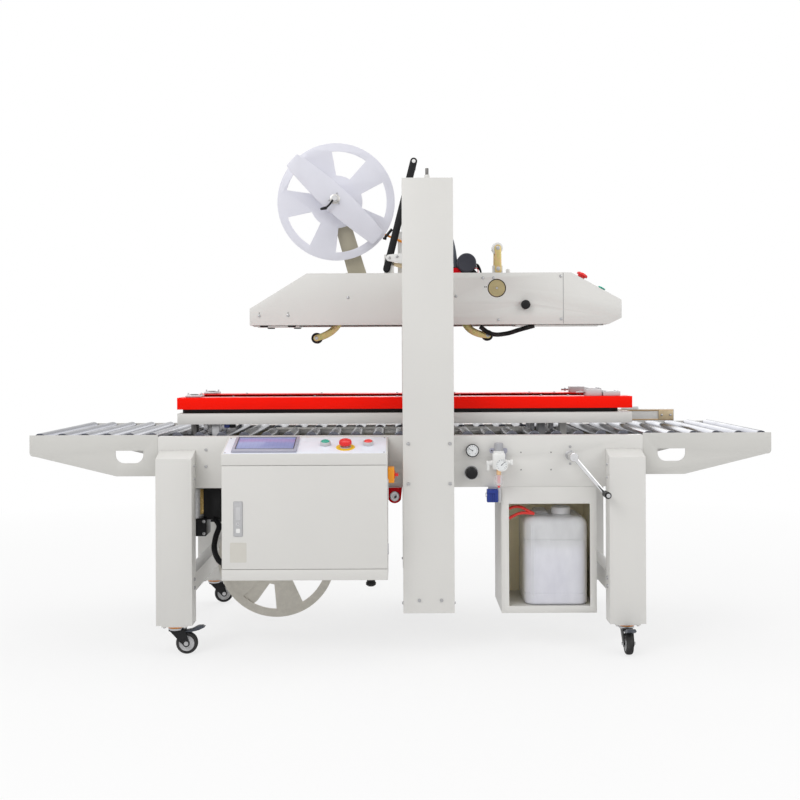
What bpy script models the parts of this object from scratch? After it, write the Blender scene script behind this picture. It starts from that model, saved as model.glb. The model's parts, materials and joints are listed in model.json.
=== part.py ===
"""Carton sealer for gummed paper tape: side belts, roller bed, lifting head, cabinet and water jug.

The carton runs along X, from the infeed table at -X to the outfeed table at +X. Shapes are drawn
with Y = 0 in the middle of the carton path, and an empty shifts them all so that the origin is the
middle of the machine's footprint. Metres, +Z up.
"""

from math import atan2, cos, pi, radians, sin

import bmesh
import bpy
from mathutils import Matrix, Vector

# Driving dimensions
PATH_Y = 0.03425                   # carton path's centre plane in the finished frame
GAP = 0.0003                       # clearance between touching pieces
SHEET = 0.003                      # folded sheet metal
RAIL_X, RAIL_Y = 0.7395, 0.310     # half length of the bed, outer face of its rails
RAIL_LOW, RAIL_TOP = 0.494, 0.651
RAIL_WALL, RAIL_FLANGE = 0.004, 0.040
TABLE_X, TABLE_TOP = 1.131, 0.657
PITCH, ROLLER_R, ROLLER_Z = 0.069, 0.019, 0.643
TABLE_REACH, BED_REACH = 0.300, 0.264   # half length of the tables' and the bed's rollers
SHORT_ROLLERS = 6                  # rollers each side of the middle that leave room for the tape unit
STRIP_Z = (0.636, 0.650)           # the strips that hold the rollers' axles
LEG_IN, LEG_OUT, LEG_Y, LEG_LOW = 0.625, 0.733, 0.375, 0.0857
COLUMN_X = (0.007, 0.160)
COLUMN_Y, COLUMN_LOW, COLUMN_TOP = 0.385, 0.127, 1.426
GUIDE_ROD = (0.0835, 0.3475)       # X and |Y| of the guide rod inside each column
HEAD_Y = 0.120                     # half width of the sealing head
UNIT_Y = 0.150                     # distance of each side drive from the path's centre
BEAM_X = (-0.701, 0.729)
PULLEY_X, PULLEY_R, BELT = 0.6555, 0.034, 0.004
BEAM_Z, BELT_Z, COVER_Z = (0.682, 0.716), (0.7166, 0.757), (0.729, 0.766)
SHAFT_R = 0.006                    # the pulleys' shafts
SCREW_X, SCREW_Z = 0.5175, 0.590   # width screw, between two rollers
REEL_R, REEL_HUB = 0.194, 0.037
UPPER_REEL = (-0.209, 1.405)
LOWER_REEL = (-0.410, 0.2285)
CABINET_X = (-0.524, -0.038)
CABINET_Y = (-0.450, -0.3103)
CABINET_Z = (0.240, 0.609, 0.649)  # floor, front edge and rear edge of its sloping panel
BOX_X, BOX_Y, BOX_Z = (0.307, 0.597), (-0.310, -0.078), (0.109, 0.4937)
CASTER_X, CASTER_Y, CASTER_TRAIL, WHEEL_R = 0.679, 0.344, 0.033, 0.033

PAINTS = {                         # colour, roughness, metallic
    "body_paint": ((0.70, 0.69, 0.66), 0.45, 0.0),
    "table_paint": ((0.60, 0.59, 0.57), 0.45, 0.0),
    "red_cover": ((1.0, 0.02, 0.0), 0.4, 0.0),
    "red_plastic": ((0.75, 0.02, 0.02), 0.35, 0.0),
    "green_plastic": ((0.05, 0.50, 0.25), 0.35, 0.0),
    "black_plastic": ((0.02, 0.02, 0.02), 0.5, 0.0),
    "black_rubber": ((0.03, 0.03, 0.03), 0.8, 0.0),
    "steel": ((0.55, 0.55, 0.57), 0.35, 1.0),
    "reel_paint": ((0.75, 0.75, 0.82), 0.35, 0.0),
    "tan_metal": ((0.50, 0.45, 0.35), 0.4, 0.6),
    "gold_zinc": ((0.70, 0.55, 0.25), 0.35, 0.8),
    "jug_plastic": ((0.85, 0.85, 0.88), 0.3, 0.0),
    "motor_grey": ((0.20, 0.20, 0.21), 0.5, 0.3),
}

for old in list(bpy.data.objects):
    bpy.data.objects.remove(old, do_unlink=True)
MODEL = bpy.data.collections.new("carton_sealer")
CUTTERS = bpy.data.collections.new("cutters")
bpy.context.scene.collection.children.link(MODEL)
bpy.context.scene.collection.children.link(CUTTERS)
PATH = bpy.data.objects.new("carton_path", None)
PATH.location = (0, PATH_Y, 0)
MODEL.objects.link(PATH)


def paint(name):
    """The named finish as a Principled material."""
    material = bpy.data.materials.get(name)
    if material is None:
        colour, roughness, metallic = PAINTS[name]
        material = bpy.data.materials.new(name)
        material.use_nodes = True
        shader = material.node_tree.nodes["Principled BSDF"]
        shader.inputs["Base Color"].default_value = (*colour, 1)
        shader.inputs["Roughness"].default_value = roughness
        shader.inputs["Metallic"].default_value = metallic
    return material


def new_object(name, mesh):
    mesh.name = name
    mesh.shade_smooth()
    mesh.set_sharp_from_angle(angle=radians(35))
    piece = bpy.data.objects.new(name, mesh)
    MODEL.objects.link(piece)
    piece.parent = PATH
    return piece


def block(name, x, y, z):
    """A box between two values on each axis, given in either order."""
    spans = [sorted(span) for span in (x, y, z)]
    centre = Vector([(low + high) / 2 for low, high in spans])
    size = [high - low for low, high in spans]
    bm = bmesh.new()
    bmesh.ops.create_cube(bm, size=1, matrix=Matrix.Translation(centre) @ Matrix.Diagonal((*size, 1)))
    mesh = bpy.data.meshes.new(name)
    bm.to_mesh(mesh)
    bm.free()
    return new_object(name, mesh)


def rod(name, start, end, radius, end_radius=None, sides=20):
    """A cylinder or cone between two points."""
    start, end = Vector(start), Vector(end)
    along = end - start
    turn = Vector((0, 0, 1)).rotation_difference(along).to_matrix().to_4x4()
    bm = bmesh.new()
    bmesh.ops.create_cone(
        bm, cap_ends=True, segments=sides, radius1=radius, depth=along.length,
        radius2=radius if end_radius is None else end_radius,
        matrix=Matrix.Translation((start + end) / 2) @ turn,
    )
    mesh = bpy.data.meshes.new(name)
    bm.to_mesh(mesh)
    bm.free()
    return new_object(name, mesh)


# Where a flat outline's two axes and its thickness point, for each plane it can lie across
LAYOUT = {
    "X": Matrix(((0, 0, 1, 0), (1, 0, 0, 0), (0, 1, 0, 0), (0, 0, 0, 1))),
    "Y": Matrix(((1, 0, 0, 0), (0, 0, -1, 0), (0, 1, 0, 0), (0, 0, 0, 1))),
    "Z": Matrix.Identity(4),
}


def plate(name, across, span, outline, holes=()):
    """A flat outline with holes, across an axis, from one value to the other along that axis."""
    low, high = sorted(span)
    curve = bpy.data.curves.new(name, "CURVE")
    curve.dimensions = "2D"
    curve.fill_mode = "BOTH"
    curve.extrude = (high - low) / 2
    for ring in (outline, *holes):
        spline = curve.splines.new("POLY")
        spline.points.add(len(ring) - 1)
        for point, (a, b) in zip(spline.points, ring):
            point.co = (a, b, 0, 1)
        spline.use_cyclic_u = True
    flat = bpy.data.objects.new(name, curve)
    MODEL.objects.link(flat)
    evaluated = flat.evaluated_get(bpy.context.evaluated_depsgraph_get())
    mesh = bpy.data.meshes.new_from_object(evaluated)
    bpy.data.objects.remove(flat, do_unlink=True)
    middle = {"X": ((low + high) / 2, 0, 0), "Y": (0, (low + high) / 2, 0), "Z": (0, 0, (low + high) / 2)}
    mesh.transform(Matrix.Translation(middle[across]) @ LAYOUT[across])
    bm = bmesh.new()
    bm.from_mesh(mesh)
    bmesh.ops.remove_doubles(bm, verts=bm.verts, dist=1e-5)
    bmesh.ops.recalc_face_normals(bm, faces=bm.faces)
    bm.to_mesh(mesh)
    bm.free()
    return new_object(name, mesh)


def arc(centre, radius, start, end, steps):
    """Points on an arc, from one angle to another in degrees."""
    angles = [radians(start + (end - start) * i / steps) for i in range(steps + 1)]
    return [(centre[0] + radius * cos(a), centre[1] + radius * sin(a)) for a in angles]


def circle(centre, radius, steps=24):
    return arc(centre, radius, 0, 360, steps)[:-1]


def capsule(start, end, start_radius, end_radius, steps=6):
    """The outline of a bar with round ends, which may differ in radius."""
    lean = atan2(end[1] - start[1], end[0] - start[0]) * 180 / pi
    nose = arc(end, end_radius, lean - 90, lean + 90, steps)
    return nose + arc(start, start_radius, lean + 90, lean + 270, steps)


def combine(target, operation, pieces):
    """Join pieces to the target, or cut them from it; they stay as guides in the cutters."""
    for piece in pieces:
        piece.name = f"{target.name}_guide"
        piece.hide_render = True
        piece.display_type = "WIRE"
        MODEL.objects.unlink(piece)
        CUTTERS.objects.link(piece)
        modifier = target.modifiers.new(piece.name, "BOOLEAN")
        modifier.operation = operation
        modifier.object = piece
    return target


def join(target, *pieces):
    return combine(target, "UNION", pieces)


def cut(target, *pieces):
    return combine(target, "DIFFERENCE", pieces)


def finish(piece, material, origin=None, parent=None):
    """Give a sub-part its finish and, where it moves, its origin on the joint's axis."""
    piece.data.materials.append(paint(material))
    if origin is not None:
        origin = Vector(origin)
        piece.data.transform(Matrix.Translation(-origin))
        piece.location = origin
    if parent is not None:
        for owner in (piece, *[modifier.object for modifier in piece.modifiers]):
            owner.parent = parent
    return piece


# Bed: two folded rails, the roller tables at each end, the leg frames and the columns

def rail(name, side):
    outer, wall, lip = (side * (RAIL_Y - d) for d in (0, RAIL_WALL, RAIL_FLANGE))
    low, high = RAIL_LOW + RAIL_WALL, RAIL_TOP - RAIL_WALL
    channel = [
        (outer, RAIL_LOW), (lip, RAIL_LOW), (lip, low), (wall, low),
        (wall, high), (lip, high), (lip, RAIL_TOP), (outer, RAIL_TOP),
    ]
    piece = plate(name, "X", (-RAIL_X, RAIL_X), channel)
    hole = rod("hole", (SCREW_X, outer - 0.02, SCREW_Z), (SCREW_X, outer + 0.02, SCREW_Z), 0.0095)
    return finish(cut(piece, hole), "body_paint")


def table(name, end):
    """Two side plates with a hand hole each, and the cross members between them."""
    inner, low = RAIL_X + GAP, 0.531
    side_plate = [(inner, TABLE_TOP), (inner, low), (0.866, low), (1.115, 0.592)]
    side_plate += arc((TABLE_X - 0.012, 0.604), 0.012, -70, 0, 4) + [(TABLE_X, TABLE_TOP)]
    hand_hole = [(0.784, 0.609)] + arc((0.810, 0.597), 0.026, 190, 270, 5)
    hand_hole += arc((0.843, 0.597), 0.026, -90, -10, 5) + [(0.869, 0.609)]
    turned = [[(end * x, z) for x, z in ring] for ring in (side_plate, hand_hole)]
    front, rear = (
        plate(name, "Y", (side * RAIL_Y, side * (RAIL_Y - RAIL_WALL)), turned[0], turned[1:])
        for side in (-1, 1)
    )
    reach = RAIL_Y - RAIL_WALL / 2
    end_bar = block("bar", (end * TABLE_X, end * (TABLE_X - 0.004)), (-reach, reach), (0.610, 0.650))
    stay = block("bar", (end * 0.750, end * 0.775), (-reach, reach), (0.540, 0.565))
    return finish(join(front, rear, end_bar, stay), "table_paint")


def leg_frame(name, end):
    """Front and rear legs with sloping caps, caster plates and the brace between them."""
    span = (end * LEG_IN, end * LEG_OUT)

    def leg(side):
        back, front = side * (RAIL_Y + GAP), side * LEG_Y
        outline = [(front, 0.090), (back, 0.090), (back, 0.610), (front, 0.589)]
        piece = plate(name, "X", span, outline)
        middle = CASTER_Y * side
        foot = block(
            "foot", (end * (CASTER_X - 0.038), end * (CASTER_X + 0.038)),
            (middle - 0.0305, middle + 0.0305), (LEG_LOW, 0.092),
        )
        return piece, foot

    front, front_foot = leg(-1)
    rear, rear_foot = leg(1)
    brace = block("brace", (end * LEG_IN, end * (LEG_IN + 0.040)), (-0.320, 0.320), (0.181, 0.237))
    brace.data.transform(Matrix.Translation((end * 0.001, 0, 0)))
    return finish(join(front, rear, brace, front_foot, rear_foot), "body_paint")


def column(name, side):
    """A box section, slotted on its inner side, with the head's guide rod standing in it."""
    back, front = side * (RAIL_Y + GAP), side * COLUMN_Y
    shell = block(name, COLUMN_X, (back, front), (COLUMN_LOW, COLUMN_TOP))
    inside = block(
        "inside", (COLUMN_X[0] + 0.004, COLUMN_X[1] - 0.004), (back + side * 0.004, front - side * 0.004),
        (COLUMN_LOW + 0.004, COLUMN_TOP - 0.004),
    )
    slot = block("slot", (0.031, 0.136), (back - side * 0.01, back + side * 0.02), (0.78, 1.40))
    x, y = GUIDE_ROD[0], side * GUIDE_ROD[1]
    guide = rod("guide", (x, y, COLUMN_LOW + 0.001), (x, y, COLUMN_TOP + 0.014), 0.008, sides=16)
    cut(shell, inside, slot)
    return finish(join(shell, guide), "body_paint")


rail("rail_front", -1)
rail("rail_rear", 1)
table("infeed_table", -1)
table("outfeed_table", 1)
leg_frame("infeed_legs", -1)
leg_frame("outfeed_legs", 1)
column("column_front", -1)
column("column_rear", 1)


# Casters: a swivel fork and a wheel each, headed where they trail

def caster(place, x, y, heading):
    swivel = bpy.data.objects.new(f"caster_{place}_swivel", None)
    swivel.location = (x, y, 0)
    swivel.rotation_euler.z = radians(heading)
    swivel.parent = PATH
    MODEL.objects.link(swivel)
    race = rod(f"caster_fork_{place}", (0, 0, 0.073), (0, 0, LEG_LOW - GAP), 0.024)
    bridge = block("bridge", (-0.020, 0.030), (-0.0160, 0.0160), (0.0700, 0.0745))
    cheek = [(-0.019, 0.0735), (0.029, 0.0735)] + arc((CASTER_TRAIL, WHEEL_R), 0.010, 30, -150, 6)
    cheeks = [plate("cheek", "Y", (side * 0.0135, side * 0.0158), cheek) for side in (-1, 1)]
    axle = rod("axle", (CASTER_TRAIL, -0.018, WHEEL_R), (CASTER_TRAIL, 0.018, WHEEL_R), 0.004, sides=12)
    finish(join(race, bridge, *cheeks, axle), "black_plastic", parent=swivel)
    wheel = plate(
        f"caster_wheel_{place}", "Y", (-0.011, 0.011), circle((CASTER_TRAIL, WHEEL_R), WHEEL_R, 32),
        [circle((CASTER_TRAIL, WHEEL_R), 0.0045, 12)],
    )
    finish(wheel, "black_rubber", origin=(CASTER_TRAIL, 0, WHEEL_R), parent=swivel)


caster("infeed_front", -CASTER_X, -CASTER_Y, 0)
caster("infeed_rear", -CASTER_X, CASTER_Y, 12)
caster("outfeed_front", CASTER_X, -CASTER_Y, -90)
caster("outfeed_rear", CASTER_X, CASTER_Y, 160)


# Rollers, joined into banks by the strips that hold their axles

def roller_bank(name, columns, reach, strip_x):
    """Full-width rollers at the given pitch numbers, between two axle strips."""
    strips = [
        block(name, strip_x, (side * (reach - 0.002), side * (reach + 0.004)), STRIP_Z)
        for side in (-1, 1)
    ]
    rollers = [
        rod("roller", (n * PITCH, -reach, ROLLER_Z), (n * PITCH, reach, ROLLER_Z), ROLLER_R, sides=10)
        for n in columns
    ]
    return strips, rollers


def table_rollers(name, end):
    numbers = [end * n for n in range(11, 17)]
    strips, rollers = roller_bank(name, numbers, TABLE_REACH, (end * 0.745, end * 1.118))
    finish(join(strips[0], *rollers, strips[1]), "steel")


def bed_rollers():
    """Full rollers near the ends, and short ones on each side of the lower tape unit."""
    full = [n for n in range(-10, 11) if abs(n) > SHORT_ROLLERS]
    strips, rollers = roller_bank("bed_rollers", full, BED_REACH, (-0.735, 0.735))
    for side in (-1, 1):
        inner, outer = side * 0.060, side * BED_REACH
        rollers += [
            rod("roller", (n * PITCH, inner, ROLLER_Z), (n * PITCH, outer, ROLLER_Z), ROLLER_R, sides=8)
            for n in range(-SHORT_ROLLERS, SHORT_ROLLERS + 1)
        ]
        rollers.append(block("strip", (-0.44, 0.44), (side * 0.055, side * 0.062), STRIP_Z))
    finish(join(strips[0], *rollers, strips[1]), "steel")


table_rollers("infeed_rollers", -1)
table_rollers("outfeed_rollers", 1)
bed_rollers()


# Lower tape unit between the rollers, and its reel below the bed

def side_plates(name, x, z, spacers):
    """A tape unit's two side plates, held apart by round spacers."""
    front, rear = (block(name, x, (side * 0.045, side * 0.048), z) for side in (-1, 1))
    stays = [rod("spacer", (a, -0.0465, b), (a, 0.0465, b), 0.008, sides=12) for a, b in spacers]
    return join(front, rear, *stays)


def reel(name, centre, first_window):
    """A flange with five windows and the hub that the paper core slides on."""
    x, z = centre
    windows = []
    for spoke in range(5):
        middle = first_window + 72 * spoke
        rim = arc(centre, 0.167, middle - 22, middle + 22, 6)
        windows.append(rim + arc(centre, 0.085, middle + 18, middle - 18, 3))
    bore = circle(centre, 0.0107, 16)
    disc = plate(name, "Y", (-0.030, -0.026), circle(centre, REEL_R, 40), windows + [bore])
    hub = plate("hub", "Y", (-0.0885, -0.028), circle(centre, REEL_HUB, 20), [bore])
    return finish(join(disc, hub), "reel_paint", origin=(x, 0, z))


def reel_arm(name, foot, centre, foot_size, foot_z):
    """A flat bar from its foot to the reel's axle, which stands out of it towards the front."""
    bar = plate(name, "Y", (-0.004, 0.002), capsule(foot, centre, 0.030, 0.030))
    base = block("base", (foot[0] - foot_size, foot[0] + foot_size), (-0.003, 0.050), foot_z)
    axle = rod("axle", (centre[0], 0.001, centre[1]), (centre[0], -0.0895, centre[1]), 0.010, sides=16)
    collar = rod("collar", (centre[0], 0.001, centre[1]), (centre[0], -0.0255, centre[1]), 0.020)
    return finish(join(bar, base, collar, axle), "tan_metal")


LOWER_SPACERS = [(-0.39, 0.62), (-0.10, 0.58), (0.15, 0.62), (0.39, 0.58)]
lower_unit = side_plates("lower_tape_unit", (-0.420, 0.420), (0.500, 0.656), LOWER_SPACERS)
for cross in (-0.385, 0.385):
    join(lower_unit, block("cross", (cross - 0.012, cross + 0.012), (-0.3055, 0.3055), (0.503, 0.528)))
finish(lower_unit, "steel")
reel("lower_reel", LOWER_REEL, 33)
reel_arm("lower_reel_arm", (-0.395, 0.470), LOWER_REEL, 0.036, (0.4905, 0.4997))


# Sealing head: folded shell, its carriages in the columns, the upper tape unit and its arms

HEAD_LOW, HEAD_TOP = 0.995, 1.162
NOSE = [
    (-0.484, HEAD_LOW), (-0.484, 1.049), (-0.300, HEAD_TOP), (0.553, HEAD_TOP),
    (0.715, 1.073), (0.715, 1.015), (0.674, HEAD_LOW),
]
HOLLOW = [                         # the nose's outline one sheet further in, and open below
    (-0.481, 0.980), (-0.481, 1.0475), (-0.2992, 1.159), (0.5522, 1.159),
    (0.712, 1.0712), (0.712, 1.0170), (0.672, 0.998), (0.672, 0.980),
]
SLOPE = Vector((0.4815, 0, 0.8764))                       # outward normal of the outfeed nose
HEAD_STOP, HEAD_START = Vector((0.588, -0.075, 1.1428)), Vector((0.655, -0.075, 1.1060))
STEM_R, STEM_HOLE = 0.0110, 0.0115     # a push button's stem and its hole in the sheet
HEAD_KNOB = (0.404, 1.058)
FEED_WHEEL = (0.313, 1.112)


def head_shell():
    shell = plate("head_shell", "Y", (-HEAD_Y, HEAD_Y), NOSE)
    cut(shell, plate("hollow", "Y", (-HEAD_Y + SHEET, HEAD_Y - SHEET), HOLLOW))
    front_holes = [
        rod("hole", (x, -0.13, z), (x, -0.11, z), radius)
        for (x, z), radius in ((FEED_WHEEL, 0.030), (HEAD_KNOB, 0.006))
    ]
    stems = [rod("hole", p - SLOPE * 0.02, p + SLOPE * 0.02, STEM_HOLE) for p in (HEAD_STOP, HEAD_START)]
    cut(shell, *front_holes, *stems)
    for side in (-1, 1):
        arm = block("arm", (0.036, 0.131), (side * 0.3225, side * (HEAD_Y - SHEET / 2)), (1.02, 1.14))
        carriage = block("carriage", (0.0135, 0.1535), (side * 0.3165, side * 0.3790), (1.00, 1.16))
        x, y = GUIDE_ROD[0], side * GUIDE_ROD[1]
        join(shell, arm, carriage)
        cut(shell, rod("bore", (x, y, 0.99), (x, y, 1.17), 0.0095, sides=16))
    dancer_lug = block("lug", (-0.050, -0.018), (-0.1080, -0.1030), (1.160, 1.223))
    measuring_lug = block("lug", (0.304, 0.338), (-0.0520, -0.0470), (1.160, 1.190))
    return finish(join(shell, dancer_lug, measuring_lug), "body_paint")


def roller_arm(name, pivot, middle, roller, reach):
    """A cranked arm on a hub between the tape unit's plates, with the roller at its tip."""
    hub = rod(name, (pivot[0], -0.044, pivot[1]), (pivot[0], 0.044, pivot[1]), 0.010, sides=16)
    near = plate("near", "Y", (-reach, reach), capsule(pivot, middle, 0.010, 0.009))
    far = plate("far", "Y", (-reach, reach), capsule(middle, roller, 0.009, 0.009))
    tyre = rod("tyre", (roller[0], -0.030, roller[1]), (roller[0], 0.030, roller[1]), 0.018)
    return finish(join(hub, near, far, tyre), "gold_zinc", origin=(pivot[0], 0, pivot[1]))


def swing_arm(name, pivot, tip, y, radii, roller_radius, roller_y, material):
    """A flat bar pivoted on the head, with a guide roller across its tip."""
    bar = plate(name, "Y", y, capsule(pivot, tip, *radii))
    ends = [(tip[0], reach, tip[1]) for reach in roller_y]
    roller = rod("roller", *ends, roller_radius, sides=16)
    return finish(join(bar, roller), material, origin=(pivot[0], 0, pivot[1]))


def push_button(name, place, normal, cap_radius, cap, material):
    """A cap above the panel, between two heights, and the stem that passes through the sheet."""
    head = rod(name, place + normal * cap[0], place + normal * cap[1], cap_radius)
    stem = rod("stem", place - normal * 0.016, place + normal * (cap[0] + 0.002), STEM_R, sides=16)
    return finish(join(head, stem), material, origin=place)


head_shell()
UPPER_SPACERS = [(-0.29, 1.11), (-0.05, 1.06), (0.06, 1.12), (0.26, 1.08)]
upper_unit = side_plates("upper_tape_unit", (-0.315, 0.360), (1.002, 1.140), UPPER_SPACERS)
feed_wheel = rod(
    "feed_wheel", (FEED_WHEEL[0], -0.1185, FEED_WHEEL[1]), (FEED_WHEEL[0], -0.046, FEED_WHEEL[1]), 0.027,
)
top_stay = block("stay", (-0.010, 0.010), (-0.0465, 0.0465), (1.125, 1.1587))
finish(join(upper_unit, feed_wheel, top_stay), "steel")
roller_arm("infeed_roller_arm", (-0.200, 1.012), (-0.228, 0.977), (-0.276, 0.955), 0.012)
roller_arm("outfeed_roller_arm", (0.215, 1.012), (0.240, 0.978), (0.291, 0.962), 0.012)
swing_arm("dancer_arm", (-0.033, 1.211), (0.047, 1.5235), (-0.1150, -0.1085), (0.013, 0.013), 0.009,
          (-0.112, 0.045), "black_plastic")
swing_arm("measuring_arm", (0.3235, 1.180), (0.3225, 1.248), (-0.0585, -0.0525), (0.011, 0.011), 0.016,
          (-0.055, -0.020), "gold_zinc")
push_button("head_stop_button", HEAD_STOP, SLOPE, 0.019, (0.006, 0.022), "red_plastic")
push_button("head_start_button", HEAD_START, SLOPE, 0.0135, (0.005, 0.011), "green_plastic")


def head_knob():
    x, z = HEAD_KNOB
    knob = rod("head_knob", (x, -0.1445, z), (x, -0.1205, z), 0.015)
    stud = rod("stud", (x, -0.130, z), (x, -0.105, z), 0.0055, sides=12)
    return finish(join(knob, stud), "black_plastic", origin=(x, -0.1205, z))


head_knob()


# Upper reel, its retaining plate and clamp lever

reel_arm("upper_reel_arm", (-0.146, 1.200), UPPER_REEL, 0.034, (1.1623, 1.172))
reel("upper_reel", UPPER_REEL, 2)


def retainer():
    """A leaf-shaped plate that holds the roll on the hub, slanting down to the outfeed side."""
    lean, half, tip = -42, 0.1695, 0.0230
    direction = Vector((cos(radians(lean)), sin(radians(lean))))
    ends = [Vector(UPPER_REEL) - direction * half, Vector(UPPER_REEL) + direction * half]
    bulge = 0.042
    side = Vector((-direction.y, direction.x))

    def edge(sign, start, end):
        """A bowed edge from one rounded tip to the other."""
        points = []
        for step in range(1, 6):
            t = step / 6
            width = tip + (bulge - tip) * sin(pi * t)
            points.append(tuple(start.lerp(end, t) + side * sign * width))
        return points

    outline = arc(ends[1], tip, lean - 90, lean + 90, 6) + edge(1, ends[1], ends[0])
    outline += arc(ends[0], tip, lean + 90, lean + 270, 6) + edge(-1, ends[0], ends[1])
    leaf = plate("reel_retainer", "Y", (-0.0945, -0.0905), outline)
    x, z = UPPER_REEL
    boss = rod("boss", (x, -0.1040, z), (x, -0.0930, z), 0.016)
    return finish(join(leaf, boss), "reel_paint", origin=(x, 0, z))


retainer()
lever_tip = (UPPER_REEL[0] - 0.046, UPPER_REEL[1] - 0.032)
lever = plate("reel_clamp_lever", "Y", (-0.1130, -0.1045), capsule(UPPER_REEL, lever_tip, 0.012, 0.007))
finish(lever, "black_plastic", origin=(UPPER_REEL[0], -0.1045, UPPER_REEL[1]))


# Side drives: beam, cover, belt on two pulleys, and the motor that hangs between two rollers

def belt_beam(place, side):
    """A folded channel with the screw's nut under it and bores for the pulleys' shafts."""
    centre = side * UNIT_Y
    outer, inner = centre + side * 0.0547, centre - side * 0.035
    beam = block(f"belt_beam_{place}", BEAM_X, (outer, inner), BEAM_Z)
    cut(beam, block(
        "hollow", (BEAM_X[0] - 0.01, BEAM_X[1] + 0.01), (outer - side * SHEET, inner + side * SHEET),
        (BEAM_Z[0] - 0.012, BEAM_Z[1] - SHEET),
    ))
    near, far = centre - 0.015, centre + 0.015
    join(beam, block("nut", (SCREW_X - 0.011, SCREW_X + 0.011), (near, far), (0.574, 0.7145)))
    ends = [(SCREW_X, y, SCREW_Z) for y in (near - 0.015, far + 0.015)]
    cut(beam, rod("bore", *ends, 0.0088, sides=16))
    for x in (-PULLEY_X, PULLEY_X):
        cut(beam, rod("bore", (x, centre, 0.700), (x, centre, 0.730), SHAFT_R + 0.0012, sides=16))
    if place == "rear":
        join(beam, block("guide", (0.700, 0.940), (inner, inner + side * 0.022), (0.669, 0.7085)))
    return finish(beam, "body_paint")


def belt_cover(place, side):
    """A folded cover on three posts, open below and on the belt's side."""
    centre = side * UNIT_Y
    front, back = centre + side * 0.060, centre - side * 0.032
    cover = block(f"belt_cover_{place}", BEAM_X, (front, back), COVER_Z)
    cut(cover, block(
        "hollow", (BEAM_X[0] + SHEET, BEAM_X[1] - SHEET), (front - side * SHEET, back - side * 0.020),
        (COVER_Z[0] - 0.019, COVER_Z[1] - SHEET),
    ))
    foot, top = BEAM_Z[1] + GAP, COVER_Z[1] - SHEET / 2
    posts = [rod("post", (x, centre, foot), (x, centre, top), 0.008, sides=12) for x in (-0.45, 0.0, 0.45)]
    return finish(join(cover, *posts), "red_cover")


def belt_loop(centre, radius, steps=16):
    """The outline of a belt's loop round both pulleys."""
    idler_end = arc((PULLEY_X, centre), radius, -90, 90, steps)
    return idler_end + arc((-PULLEY_X, centre), radius, 90, 270, steps)


def drive_motor(place, centre):
    """A motor and gearbox under the bed, on the neck that rises between two rollers."""
    x = -PULLEY_X
    neck = rod(f"drive_motor_{place}", (x, centre, 0.470), (x, centre, BEAM_Z[1] - SHEET - GAP), 0.0125)
    gearbox = block("gearbox", (x - 0.042, x + 0.042), (centre - 0.042, centre + 0.042), (0.425, 0.480))
    can = rod("can", (x, centre, 0.330), (x, centre, 0.430), 0.040, sides=24)
    join(neck, gearbox, can)
    cut(neck, rod("bore", (x, centre, 0.684), (x, centre, 0.720), SHAFT_R + 0.0015, sides=16))
    return finish(neck, "motor_grey")


def side_drive(place, side):
    centre = side * UNIT_Y
    belt_beam(place, side)
    belt_cover(place, side)
    inside = PULLEY_R + GAP
    belt = plate(
        f"drive_belt_{place}", "Z", BELT_Z, belt_loop(centre, inside + BELT), [belt_loop(centre, inside)],
    )
    finish(belt, "black_rubber")
    for kind, x in (("drive", -PULLEY_X), ("idler", PULLEY_X)):
        ends = [(x, centre, height) for height in BELT_Z]
        pulley = rod(f"{kind}_pulley_{place}", *ends, PULLEY_R, sides=32)
        shaft = rod("shaft", (x, centre, 0.690), (x, centre, BELT_Z[1] - 0.005), SHAFT_R, sides=12)
        finish(join(pulley, shaft), "steel", origin=(x, centre, BELT_Z[0]))
    drive_motor(place, centre)


side_drive("front", -1)
side_drive("rear", 1)


# Width crank on the screw that moves both side drives

CRANK_TIP = (0.609, 0.482)
CRANK_Y = (-0.3880, -0.3800)


def width_crank():
    crank = plate("width_crank", "Y", CRANK_Y, capsule((SCREW_X, SCREW_Z), CRANK_TIP, 0.013, 0.009))
    middle = sum(CRANK_Y) / 2
    screw = rod("screw", (SCREW_X, middle, SCREW_Z), (SCREW_X, 0.300, SCREW_Z), 0.008, sides=16)
    hub = rod("hub", (SCREW_X, CRANK_Y[0] - 0.001, SCREW_Z), (SCREW_X, -0.340, SCREW_Z), 0.0135)
    x, z = CRANK_TIP
    pin = rod("pin", (x, -0.4400, z), (x, middle, z), 0.004, sides=12)
    return finish(join(crank, screw, hub, pin), "steel", origin=(SCREW_X, CRANK_Y[1], SCREW_Z))


def crank_grip():
    inner = CRANK_Y[0] - 0.0004
    hole = circle(CRANK_TIP, 0.0046, 12)
    grip = plate("crank_grip", "Y", (-0.4420, inner), circle(CRANK_TIP, 0.0105, 20), [hole])
    return finish(grip, "black_plastic", origin=(CRANK_TIP[0], inner, CRANK_TIP[1]))


width_crank()
crank_grip()


# Compressed-air service unit and the pressure knob beside it

def filter_regulator(x, y):
    """The body on its bracket, with a cap above, a bowl below and a gauge in front."""
    rail_face = -RAIL_Y - GAP
    body = block("filter_regulator", (x - 0.019, x + 0.019), (y - 0.018, y + 0.018), (0.549, 0.618))
    cap = rod("cap", (x, y, 0.615), (x, y, 0.631), 0.0135)
    bowl = rod("bowl", (x, y, 0.508), (x, y, 0.552), 0.0145)
    bracket = block("bracket", (x - 0.016, x + 0.024), (-0.3220, rail_face), (0.575, 0.612))
    gauge = rod("gauge", (x + 0.006, -0.374, 0.567), (x + 0.006, -0.350, 0.567), 0.0195, sides=24)
    return finish(join(body, cap, bowl, bracket, gauge), "steel")


def pressure_knob(x, z):
    knob = rod("pressure_knob", (x, -0.3420, z), (x, -RAIL_Y - GAP, z), 0.018, sides=24)
    return finish(knob, "black_plastic", origin=(x, -RAIL_Y, z))


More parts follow.
